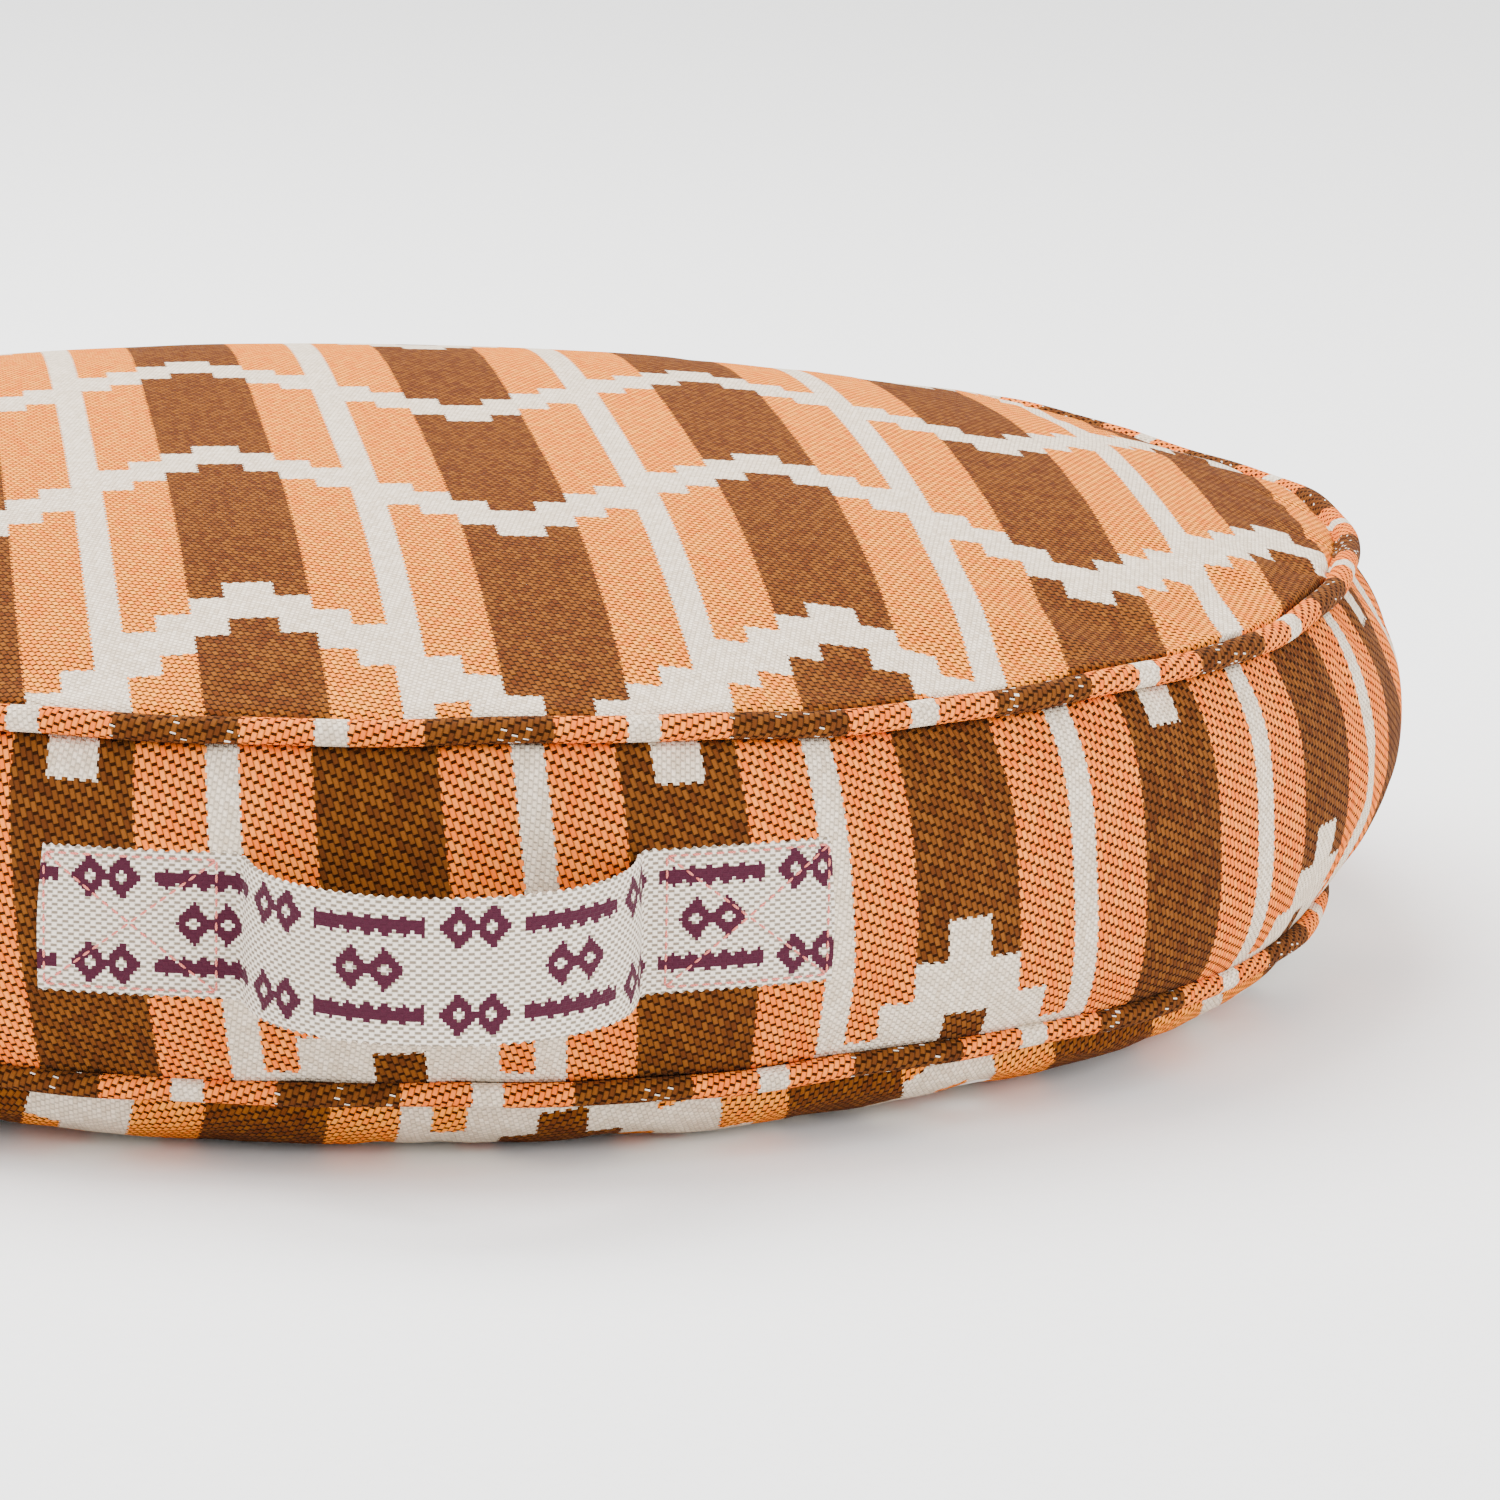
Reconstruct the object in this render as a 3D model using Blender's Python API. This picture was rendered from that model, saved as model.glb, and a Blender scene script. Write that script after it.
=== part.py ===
"""Round floor cushion: piped box cover with a rear zip, a webbing carry handle and a loose inner pad.

Metres, +Z up. The origin is the centre of the face the cushion rests on, and the handle is at -Y.
Every round piece is a thin section turned about Z, so all of them share the same facets.
"""
from math import asin, cos, pi, radians, sin, sqrt

import bmesh
import bpy
import numpy as np
from mathutils import Matrix, Vector

# ---- driving dimensions -------------------------------------------------------------------------
SEAM_RADIUS = 0.296          # radius of both piping centres
BORDER_HEIGHT = 0.0885       # border cloth seen between the two pipings
BORDER_BULGE = 0.007         # how far the border swells past the seam radius at mid height
PIPING_RADIUS = 0.004
TOP_CROWN = 0.0290           # crown of the top panel above the upper piping's centre
BOTTOM_CROWN = 0.0195        # depth of the bottom panel below the lower piping's centre
REST_RADIUS = 0.236          # flat patch the cushion rests on
TOP_FULLNESS = (3.6, 1.5)    # exponents of the top panel's dome
HEM_FULLNESS = (2.0, 0.625)  # exponents of the bottom panel's rounded edge

CLOTH = 0.0010               # cover cloth
PIPING_CLOTH = 0.0008
LINER = 0.0008
ALLOWANCE = 0.012            # seam allowances turned inwards
GAP = 0.0004                 # between pieces that touch
PAD_EASE = 0.0015            # slack round the inner pad, which rests on the bottom panel

ZIP_ANGLE = radians(144)     # length of the zip panel round the rear
ZIP_OPENING = 0.0110         # between the folded edges of the two zip strips
ZIP_FOLD = 0.012             # cloth folded back behind each edge
TAPE_WIDTH = 0.0150
TAPE = 0.0006
COIL_WIDTH = 0.0024          # one side
COIL_HEIGHT = 0.0023
COIL_SPLIT = 0.0014          # slit between the two coils, where the slider's web runs
SLIDER_LENGTH = 0.0110
SLIDER_WIDTH = 0.0090
SLIDER_PLATE = 0.0014
SLIDER_WEB = 0.0006
SLIDER_START = radians(29)   # closed end of the zip, from +X towards +Y
BRIDGE_LENGTH = 0.0080
BRIDGE_WIDTH = 0.0020
BRIDGE_SPACE = 0.0020        # room under the bridge for the pull's cross bar
BRIDGE_BAR = 0.0010
PULL_LENGTH = 0.0240
PULL_WIDTH = 0.0062
PULL_PLATE = 0.0010
EYE_CLEARANCE = 0.0012       # between the bridge's end and the closed part of the pull

WEBBING_WIDTH = 0.0380
WEBBING = 0.0020
ANCHOR_LENGTH = 0.0520
HANDLE_SPAN = 0.1000         # between the feet of the free loop
HANDLE_BOW = 0.0380          # how far the loop stands out from the border
HANDLE_SWING = radians(40)
FOOT_BEND = 0.0040           # radius of the turn where the loop leaves the border
STITCH_INSET = 0.0018        # box-and-cross stitching, in from the webbing's edges and ends
THREAD = 0.0012
THREAD_HEIGHT = 0.0006

FACETS = 40                  # round pieces; the rear zip panel takes whole facets
LOOP_STEPS = 7               # steps along each half of the handle loop

# ---- levels worked out from them ----------------------------------------------------------------
LOWER_SEAM = BOTTOM_CROWN                      # height of the lower piping's centre
BORDER_MID = LOWER_SEAM + PIPING_RADIUS + BORDER_HEIGHT / 2
UPPER_SEAM = 2 * BORDER_MID - LOWER_SEAM
BORDER_RADIUS = SEAM_RADIUS + BORDER_BULGE     # outer face of the border at mid height
FLANGE_SLIT = GAP / 2                          # half the slit between the piping's two legs
LEG_TOP = FLANGE_SLIT + PIPING_CLOTH
FOLD_RADIUS = SEAM_RADIUS - PIPING_RADIUS - GAP / 2   # folds of the cloth beside the piping
FLANGE_RADIUS = FOLD_RADIUS - ALLOWANCE
ALLOWANCE_NEAR = LEG_TOP + GAP                 # faces of a cloth allowance beside the legs
ALLOWANCE_FAR = ALLOWANCE_NEAR + CLOTH
FACET_ANGLE = 2 * pi / FACETS
HALF_ZIP_FACETS = round(ZIP_ANGLE / FACET_ANGLE / 2)
REAR = FACETS // 4                             # facet number at +Y

COLOURS = {
    "cloth": (0.83, 0.47, 0.24),
    "cord": (0.86, 0.84, 0.80),
    "tape": (0.46, 0.30, 0.18),
    "coil": (0.40, 0.24, 0.13),
    "metal": (0.62, 0.50, 0.32),
    "webbing": (0.87, 0.84, 0.80),
    "thread": (0.84, 0.56, 0.52),
    "liner": (0.90, 0.89, 0.86),
    "fill": (0.95, 0.95, 0.94),
}


def material(slot, roughness=0.9, metallic=0.0):
    found = bpy.data.materials.get(slot)
    if found:
        return found
    new = bpy.data.materials.new(slot)
    new.use_nodes = True
    shader = new.node_tree.nodes["Principled BSDF"]
    shader.inputs["Base Color"].default_value = (*COLOURS[slot], 1.0)
    shader.inputs["Roughness"].default_value = roughness
    shader.inputs["Metallic"].default_value = metallic
    return new


def add_object(name, mesh_builder, slot, smooth=True):
    """Turn a finished bmesh into a named object with its own material."""
    bmesh.ops.recalc_face_normals(mesh_builder, faces=mesh_builder.faces)
    mesh = bpy.data.meshes.new(name)
    mesh_builder.to_mesh(mesh)
    mesh_builder.free()
    if smooth:
        mesh.shade_smooth()
        mesh.set_sharp_from_angle(angle=radians(35))
    mesh.materials.append(material(slot))
    thing = bpy.data.objects.new(name, mesh)
    bpy.context.collection.objects.link(thing)
    return thing


# ---- turned sections ----------------------------------------------------------------------------
def offset_path(path, distance):
    """The same path moved sideways to its right, with mitred corners; a point on the axis stays on it."""
    moved = []
    for i, (r, z) in enumerate(path):
        sides = []
        for a, b in ((i - 1, i), (i, i + 1)):
            if 0 <= a and b < len(path):
                run = Vector(path[b]) - Vector(path[a])
                sides.append(Vector((run.y, -run.x)).normalized())
        normal = (sides[0] + sides[-1]).normalized()
        step = normal * (distance / normal.dot(sides[0]))
        moved.append((0.0, z + step.y) if r == 0 else (r + step.x, z + step.y))
    return moved


def turned(name, section, slot, first=0, facets=FACETS):
    """Turn a closed section (radius, height) about Z, right round or over some of the facets."""
    whole = facets == FACETS
    builder = bmesh.new()
    columns = []
    for step in range(facets if whole else facets + 1):
        angle = (first + step) * FACET_ANGLE
        columns.append([
            builder.verts.new((r * cos(angle), r * sin(angle), z)) if r > 0 or step == 0 else None
            for r, z in section
        ])
    poles = columns[0]
    count = len(section)
    for step in range(facets):
        near = columns[step]
        far = columns[(step + 1) % len(columns)]
        for i in range(count):
            j = (i + 1) % count
            corners = []
            for column, k in ((near, i), (near, j), (far, j), (far, i)):
                corner = column[k] or poles[k]
                if corner not in corners:
                    corners.append(corner)
            if len(corners) > 2:
                builder.faces.new(corners)
    if not whole:
        builder.faces.new(columns[0])
        builder.faces.new(list(reversed(columns[-1])))
    return add_object(name, builder, slot)


def shell(path, thickness):
    """Closed section of a sheet whose outer face follows the path; the sheet lies to its right."""
    return path + list(reversed(offset_path(path, thickness)))


def dome(radii, base, crown, fullness):
    """Outer face of the top panel, from the axis outwards."""
    n, m = fullness
    return [(r, base + (crown - base) * (1 - (r / FOLD_RADIUS) ** n) ** m) for r in radii]


def bowl(radii, base, depth, fullness):
    """Outer face of the bottom panel below its seam, from the axis outwards."""
    n, m = fullness
    rise = [max(r - REST_RADIUS, 0) / (FOLD_RADIUS - REST_RADIUS) for r in radii]
    return [(r, -depth + (depth - base) * (1 - (1 - u ** n) ** m)) for r, u in zip(radii, rise)]


RIM = ALLOWANCE_FAR + CLOTH + GAP              # where a panel leaves its fold, above the seam
TOP_RADII = [FOLD_RADIUS * share for share in (0, 0.32, 0.52, 0.68, 0.80, 0.88, 0.94, 0.98)]
EDGE_SHARES = (0, 0.30, 0.55, 0.76, 0.91)
BOTTOM_RADII = [0] + [REST_RADIUS + (FOLD_RADIUS - REST_RADIUS) * share for share in EDGE_SHARES]


def panel_section(outer, side):
    """Panel, fold beside the piping and allowance turned back inwards, mirrored for side = -1."""
    face = outer + [(FOLD_RADIUS, RIM), (FOLD_RADIUS, ALLOWANCE_NEAR), (FLANGE_RADIUS, ALLOWANCE_NEAR)]
    back = [(FLANGE_RADIUS, ALLOWANCE_FAR), (FOLD_RADIUS - CLOTH, ALLOWANCE_FAR)]
    inner = offset_path(outer + [(FOLD_RADIUS, RIM)], CLOTH)[:-1]
    return face + back + list(reversed(inner))


def lift(section, height, side=1):
    return [(r, height + side * z) for r, z in section]


def add_panels():
    top = dome(TOP_RADII, RIM, TOP_CROWN, TOP_FULLNESS)
    turned("top_panel", lift(panel_section(top, 1), UPPER_SEAM), "cloth")
    low = [(r, -z) for r, z in bowl(BOTTOM_RADII, RIM, BOTTOM_CROWN, HEM_FULLNESS)]
    turned("bottom_panel", lift(panel_section(low, -1), LOWER_SEAM, -1), "cloth")


def piping_sections():
    """Cover with its two legs, and the cord inside, about the piping's own centre."""
    outer = []
    inner = []
    for step in range(7):
        angle = radians(150 - 50 * step)
        outer.append((SEAM_RADIUS + PIPING_RADIUS * cos(angle), PIPING_RADIUS * sin(angle)))
    for step in range(5):
        angle = radians(-130 + 65 * step)
        reach = PIPING_RADIUS - PIPING_CLOTH
        inner.append((SEAM_RADIUS + reach * cos(angle), reach * sin(angle)))
    legs_out = [(FLANGE_RADIUS, -LEG_TOP), (FLANGE_RADIUS, -FLANGE_SLIT)]
    legs_back = [(FLANGE_RADIUS, FLANGE_SLIT), (FLANGE_RADIUS, LEG_TOP)]
    throat = SEAM_RADIUS - PIPING_RADIUS + PIPING_CLOTH
    neck = SEAM_RADIUS - sqrt(PIPING_RADIUS ** 2 - LEG_TOP ** 2)
    cover = [(neck, LEG_TOP)] + outer[1:-1] + [(neck, -LEG_TOP)] + legs_out
    cover += [(throat, -FLANGE_SLIT)] + inner + [(throat, FLANGE_SLIT)] + legs_back
    core = (PIPING_RADIUS - PIPING_CLOTH - GAP) * cos(radians(32.5))
    cord = [(SEAM_RADIUS + core * cos(a), core * sin(a)) for a in np.radians(range(0, 360, 60))]
    return cover, cord


def add_pipings():
    cover, cord = piping_sections()
    for place, height in (("top", UPPER_SEAM), ("bottom", LOWER_SEAM)):
        turned(f"piping_cover_{place}", lift(cover, height), "cloth")
        turned(f"piping_cord_{place}", lift(cord, height), "cord")


# ---- border and zip panel -----------------------------------------------------------------------
BORDER_TOP = UPPER_SEAM - BORDER_MID - ALLOWANCE_NEAR   # heights below are counted from mid height
BORDER_HALF = BORDER_HEIGHT / 2


def border_face():
    """Outer face of the border's upper half, from the allowance's inner edge down to mid height."""
    turn = BORDER_HALF - 0.1 * PIPING_RADIUS
    swell = [(SEAM_RADIUS + BORDER_BULGE * (1 - share ** 3), BORDER_HALF * share)
             for share in (0.84, 0.6, 0.3)]
    return [
        (FLANGE_RADIUS, BORDER_TOP),
        (FOLD_RADIUS, BORDER_TOP),
        (FOLD_RADIUS, BORDER_TOP - 1.3 * CLOTH),
        (SEAM_RADIUS - 0.45 * PIPING_RADIUS, turn),
        *swell,
    ]


def mirrored(path):
    return [(r, -z) for r, z in reversed(path)]


def zip_strip_face():
    """Outer face of the upper zip strip, down to its folded edge beside the zip."""
    edge = ZIP_OPENING / 2
    return [point for point in border_face() if point[1] > edge + CLOTH] + [(BORDER_RADIUS, edge)]


def add_border():
    half = border_face()
    front = shell(half + [(BORDER_RADIUS, 0)] + mirrored(half), CLOTH)
    first = REAR + HALF_ZIP_FACETS
    facets = FACETS - 2 * HALF_ZIP_FACETS
    trim_ends(turned("border_front", lift(front, BORDER_MID), "cloth", first, facets), first)
    face = zip_strip_face()
    inside = offset_path(face, CLOTH)
    edge = ZIP_OPENING / 2
    fold_out = BORDER_RADIUS - CLOTH - GAP
    fold = [(fold_out, edge + CLOTH), (fold_out, edge + ZIP_FOLD), (fold_out - CLOTH, edge + ZIP_FOLD)]
    fold += [(fold_out - CLOTH, edge)]
    keep = [point for point in inside if point[1] > edge + CLOTH]
    section = face + list(reversed(fold)) + [(BORDER_RADIUS - CLOTH, edge + CLOTH)] + list(reversed(keep))
    for place, side in (("upper", 1), ("lower", -1)):
        turned(f"zip_strip_{place}", lift(section, BORDER_MID, side), "cloth",
               REAR - HALF_ZIP_FACETS, 2 * HALF_ZIP_FACETS)


def trim_ends(thing, first):
    """Draw both ends of the front border back by half a gap from the zip panel's ends."""
    shift = GAP / SEAM_RADIUS
    last = first + FACETS - 2 * HALF_ZIP_FACETS
    for vertex in thing.data.vertices:
        x, y, z = vertex.co
        for number, turn in ((first, shift), (last, -shift)):
            angle = number * FACET_ANGLE
            if abs(x * sin(angle) - y * cos(angle)) < GAP / 4 and x * cos(angle) + y * sin(angle) > 0:
                vertex.co = Matrix.Rotation(turn, 3, "Z") @ vertex.co


TAPE_OUT = BORDER_RADIUS - 2 * (CLOTH + GAP)   # outer face of the tape, behind the folded edges
COIL_IN = TAPE_OUT + GAP
COIL_OUT = COIL_IN + COIL_HEIGHT


def block(inner, outer, low, high):
    return [(inner, low), (inner, high), (outer, high), (outer, low)]


def add_zip_chain():
    first = REAR - HALF_ZIP_FACETS
    facets = 2 * HALF_ZIP_FACETS
    near = COIL_SPLIT / 2
    tape = block(TAPE_OUT - TAPE, TAPE_OUT, near + GAP, TAPE_WIDTH)
    coil = block(COIL_IN, COIL_OUT, near, near + COIL_WIDTH)
    for place, side in (("upper", 1), ("lower", -1)):
        turned(f"zip_tape_{place}", lift(tape, BORDER_MID, side), "tape", first, facets)
        turned(f"zip_coil_{place}", lift(coil, BORDER_MID, side), "coil", first, facets)


# ---- slider and pull ----------------------------------------------------------------------------
PLATE_IN = COIL_OUT + GAP                      # outer plate, over the coils
PLATE_OUT = PLATE_IN + SLIDER_PLATE
BACK_OUT = (TAPE_OUT - TAPE) * cos(FACET_ANGLE / 2) - GAP
BACK_IN = BACK_OUT - SLIDER_PLATE
BRIDGE_IN = PLATE_OUT + BRIDGE_SPACE
BRIDGE_OUT = BRIDGE_IN + BRIDGE_BAR
PULL_AXIS = (PLATE_OUT + BRIDGE_IN) / 2        # radius of the pull's cross bar
EYE = BRIDGE_LENGTH / 2 + EYE_CLEARANCE        # from the cross bar to the closed part of the tab
SIDE_BAR = (PULL_WIDTH - BRIDGE_WIDTH) / 2 - GAP


def box(name, x_low, x_high, y_low, y_high, z_low, z_high):
    builder = bmesh.new()
    size = Vector((x_high - x_low, y_high - y_low, z_high - z_low))
    middle = Vector((x_high + x_low, y_high + y_low, z_high + z_low)) / 2
    bmesh.ops.create_cube(builder, size=1, matrix=Matrix.Translation(middle) @ Matrix.Diagonal((*size, 1)))
    return add_object(name, builder, "metal", smooth=False)


def union_of(name, blocks, parent):
    """Join blocks that bite into each other into one named body under an empty."""
    body = box(name, *blocks[0])
    body.parent = parent
    for number, sizes in enumerate(blocks[1:]):
        other = box(f"{name}_block_{number}", *sizes)
        other.parent = parent
        other.hide_render = True
        other.display_type = "WIRE"
        join = body.modifiers.new(f"join_{number}", "BOOLEAN")
        join.operation = "UNION"
        join.solver = "EXACT"
        join.object = other
    return body


def empty(name, location, turn, parent=None):
    point = bpy.data.objects.new(name, None)
    point.location = location
    point.rotation_euler = (0, 0, turn)
    point.parent = parent
    bpy.context.collection.objects.link(point)
    return point


def add_slider():
    """X runs outwards from the cushion's axis, Y along the zip and Z across it."""
    track = empty("slider_track", (0, 0, BORDER_MID), SLIDER_START)
    long = SLIDER_LENGTH / 2
    wide = SLIDER_WIDTH / 2
    web = SLIDER_WEB / 2
    post = BRIDGE_LENGTH / 2
    half = BRIDGE_WIDTH / 2
    bite = SLIDER_PLATE / 2
    blocks = [
        (PLATE_IN, PLATE_OUT, -long, long, -wide, wide),
        (BACK_IN, BACK_OUT, -long * 0.9, long * 0.9, -wide * 0.9, wide * 0.9),
        (BACK_OUT - bite, PLATE_IN + bite, -long * 0.5, long * 0.5, -web, web),
        (PLATE_OUT - bite, BRIDGE_OUT - BRIDGE_BAR / 4, -post, -post + BRIDGE_BAR, -half, half),
        (PLATE_OUT - bite, BRIDGE_OUT - BRIDGE_BAR / 4, post - BRIDGE_BAR, post, -half, half),
        (BRIDGE_IN, BRIDGE_OUT, -post * 0.95, post * 0.95, -half * 0.9, half * 0.9),
    ]
    union_of("zip_slider", blocks, track)
    pivot = empty("pull_pivot", (PULL_AXIS, 0, 0), 0, track)
    edge = PULL_WIDTH / 2
    thin = PULL_PLATE / 2
    pull = [
        (-thin, thin, EYE, PULL_LENGTH, -edge, edge),
        (-thin * 0.98, thin * 0.98, -thin, EYE + thin, edge - SIDE_BAR, edge * 0.99),
        (-thin * 0.98, thin * 0.98, -thin, EYE + thin, -edge * 0.99, -edge + SIDE_BAR),
        (-thin * 0.96, thin * 0.96, -thin * 0.96, thin * 0.96, -edge + SIDE_BAR / 2, edge - SIDE_BAR / 2),
    ]
    union_of("zip_pull", pull, pivot)


# ---- webbing handle -----------------------------------------------------------------------------
FOOT = HANDLE_SPAN / 2
FOOT_ANGLE = asin(FOOT / BORDER_RADIUS)
ANCHOR_ANGLE = FOOT_ANGLE + ANCHOR_LENGTH / 2 / BORDER_RADIUS
AXIS_DEPTH = BORDER_RADIUS * cos(FOOT_ANGLE)   # the swing axis, through both feet
NEAREST_EDGE = ANCHOR_ANGLE - FACET_ANGLE * round(ANCHOR_ANGLE / FACET_ANGLE)
WEB_SEAT = BORDER_RADIUS * cos(NEAREST_EDGE) + GAP + WEBBING / 2   # mid plane, seated on a facet's edge
CLEAR_DEPTH = (WEBBING_WIDTH / 2 * sin(HANDLE_SWING) + 3 * GAP) / cos(HANDLE_SWING)
STUB_TURN = asin(CLEAR_DEPTH / HANDLE_BOW)
CUT_X = FOOT * cos(STUB_TURN)


def arch(turn):
    """Plan of the free loop's middle line: x and the distance out from the swing axis."""
    return FOOT * cos(turn), HANDLE_BOW * sin(turn)


def ribbon(name, path, slot, cut_first=False, cut_last=False):
    """Webbing on edge along a plan path, with ends square to it or, at a cut, square to X."""
    builder = bmesh.new()
    half = WEBBING / 2
    sides = []
    for i, point in enumerate(path):
        before = Vector(path[max(i - 1, 0)])
        after = Vector(path[min(i + 1, len(path) - 1)])
        here = Vector(point)
        runs = [run.normalized() for run in (here - before, after - here) if run.length > 0]
        normals = [Vector((-run.y, run.x)) for run in runs]
        normal = (normals[0] + normals[-1]).normalized()
        reach = half / normal.dot(normals[0])
        if (i == 0 and cut_first) or (i == len(path) - 1 and cut_last):
            normal = Vector((0, 1 if normals[0].y > 0 else -1))
            reach = half / abs(normals[0].y)
        sides.append((here - normal * reach, here + normal * reach))
    rows = []
    for near, far in sides:
        low, high = BORDER_MID - WEBBING_WIDTH / 2, BORDER_MID + WEBBING_WIDTH / 2
        rows.append([builder.verts.new((p.x, p.y, z)) for p, z in
                     ((near, low), (far, low), (far, high), (near, high))])
    for a, b in zip(rows, rows[1:]):
        for i in range(4):
            j = (i + 1) % 4
            builder.faces.new((a[i], a[j], b[j], b[i]))
    builder.faces.new(rows[0])
    builder.faces.new(list(reversed(rows[-1])))
    return add_object(name, builder, slot)


def anchor_path():
    """Right anchor: along the border, round the foot, and out to the cut where the loop begins."""
    along = Vector((cos(ANCHOR_ANGLE), sin(ANCHOR_ANGLE)))
    centre = Vector((WEB_SEAT * sin(ANCHOR_ANGLE), -WEB_SEAT * cos(ANCHOR_ANGLE)))
    outer = centre + along * ANCHOR_LENGTH / 2
    inner = centre - along * (ANCHOR_LENGTH / 2 - FOOT_BEND)
    points = [outer, inner]
    stub = [Vector((x, -AXIS_DEPTH - d)) for x, d in
            (arch(STUB_TURN * share) for share in (0.42, 0.7, 1.0))]
    bend = (inner - along * FOOT_BEND + stub[0]) / 2
    return [tuple(p) for p in points + [bend] + stub]


def add_handle():
    right = anchor_path()
    left = [(-x, y) for x, y in right]
    ribbon("handle_anchor_right", right, "webbing", cut_last=True)
    ribbon("handle_anchor_left", left, "webbing", cut_last=True)
    rest = pi - 2 * STUB_TURN
    turns = [STUB_TURN + rest * step / (2 * LOOP_STEPS) for step in range(2 * LOOP_STEPS + 1)]
    loop = [(x, -AXIS_DEPTH - d) for x, d in (arch(turn) for turn in turns)]
    loop[0] = (CUT_X - GAP, loop[0][1])
    loop[-1] = (-CUT_X + GAP, loop[-1][1])
    ribbon("handle_loop", loop, "webbing", cut_first=True, cut_last=True)
    for place, side in (("right", 1), ("left", -1)):
        add_box_stitch(f"box_stitch_{place}", side * ANCHOR_ANGLE)


def add_box_stitch(name, angle):
    """Frame and cross of thread as one flat body on the face of an anchor."""
    half_s = (ANCHOR_LENGTH - FOOT_BEND) / 2 - STITCH_INSET
    half_z = WEBBING_WIDTH / 2 - STITCH_INSET
    slope = Vector((half_s, half_z)).normalized()
    along_s = THREAD / 2 / slope.y           # half a diagonal's width, measured along the long side
    along_z = THREAD / 2 / slope.x
    edge_s, edge_z = half_s - THREAD, half_z - THREAD
    corner = [(-half_s, half_z), (half_s, half_z), (half_s, -half_z), (-half_s, -half_z)]
    tip_s, tip_z = along_s, along_z
    wide = edge_z * half_s / half_z - along_s
    tall = edge_s * half_z / half_s - along_z
    hole = {
        "top": [(-wide, edge_z), (wide, edge_z), (0, tip_z)],
        "right": [(edge_s, tall), (edge_s, -tall), (tip_s, 0)],
        "bottom": [(wide, -edge_z), (-wide, -edge_z), (0, -tip_z)],
        "left": [(-edge_s, -tall), (-edge_s, tall), (-tip_s, 0)],
    }
    order = ("top", "right", "bottom", "left")
    faces = []
    for i, side in enumerate(order):
        first, second, tip = hole[side]
        following = hole[order[(i + 1) % 4]]
        outer, outer_next = corner[i], corner[(i + 1) % 4]
        faces.append((outer, outer_next, second, first))
        faces.append((outer_next, following[0], second))
        faces.append((second, following[0], following[2], tip))
    faces.append(tuple(hole[side][2] for side in order))
    builder = bmesh.new()
    seat = WEB_SEAT + WEBBING / 2 + GAP
    flat_mid = FOOT_BEND / 2 if angle > 0 else -FOOT_BEND / 2     # the bend isn't stitched
    out = Vector((sin(angle), -cos(angle), 0))
    along = Vector((cos(angle), sin(angle), 0))
    layers = []
    for radius in (seat, seat + THREAD_HEIGHT):
        made = {}
        for face in faces:
            for s, z in face:
                key = (round(s, 7), round(z, 7))
                if key not in made:
                    place = out * radius + along * (s + flat_mid) + Vector((0, 0, BORDER_MID + z))
                    made[key] = builder.verts.new(place)
        layers.append([[made[round(s, 7), round(z, 7)] for s, z in face] for face in faces])
    lower = [builder.faces.new(list(reversed(face))) for face in layers[0]]
    for face in layers[1]:
        builder.faces.new(face)
    twins = {a: b for low, high in zip(*layers) for a, b in zip(low, high)}
    rims = [edge for face in lower for edge in face.edges if len(edge.link_faces) == 1]
    for edge in rims:
        a, b = edge.verts
        builder.faces.new((a, b, twins[b], twins[a]))
    add_object(name, builder, "thread", smooth=False)


# ---- inner pad ----------------------------------------------------------------------------------
PAD_TOP = UPPER_SEAM - BORDER_MID - ALLOWANCE_FAR - PAD_EASE   # the pad's edge, clear of the allowances
PAD_RADIUS = BACK_IN - PAD_EASE / 2            # clear of the zip slider's inner plate
PAD_SHOULDER = FOLD_RADIUS - 2 * PAD_EASE      # radius of the pad's two edges
SHOULDER_DROP = 0.012                          # height over which the border narrows to its edge
LIP = 0.008                                    # liner panels turn down inside the liner's border
LAYER = LINER + GAP


def pad_face(panel, ease):
    """Outer face of a liner panel from the axis to its edge, then the line its lip follows."""
    reach = FLANGE_RADIUS - PAD_EASE
    rise = UPPER_SEAM - BORDER_MID
    path = [(r, rise + z - CLOTH - ease) for r, z in panel if r < reach - 2 * PAD_EASE]
    slope = Vector((PAD_RADIUS - PAD_SHOULDER, -SHOULDER_DROP)).normalized()
    edge = PAD_SHOULDER + LAYER / slope.y
    return path + [(reach, PAD_TOP), (edge, PAD_TOP)], Vector((edge, PAD_TOP)), slope


def add_pad():
    top = dome(TOP_RADII, RIM, TOP_CROWN, TOP_FULLNESS)
    bottom = [(r, -z) for r, z in bowl(BOTTOM_RADII, RIM, BOTTOM_CROWN, HEM_FULLNESS)]
    outlines = []
    for name, panel, side, ease in (("liner_top", top, 1, PAD_EASE), ("liner_bottom", bottom, -1, GAP)):
        face, edge, slope = pad_face(panel, ease)
        lip = edge + slope * LIP
        waist = (PAD_RADIUS - LAYER, PAD_TOP - SHOULDER_DROP)
        outlines.append(offset_path(face + [waist], LAYER))
        turned(name, lift(shell(face + [tuple(lip)], LINER), BORDER_MID, side), "liner")
    half = [(PAD_SHOULDER, PAD_TOP), (PAD_RADIUS, PAD_TOP - SHOULDER_DROP)]
    turned("liner_border", lift(shell(half + mirrored(half), LINER), BORDER_MID), "liner")
    upper, lower = outlines
    turned("fibre_fill", lift(upper + mirrored(lower), BORDER_MID), "fill")


def build():
    for thing in list(bpy.data.objects):
        bpy.data.objects.remove(thing, do_unlink=True)
    add_panels()
    add_pipings()
    add_border()
    add_zip_chain()
    add_slider()
    add_handle()
    add_pad()


build()
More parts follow.
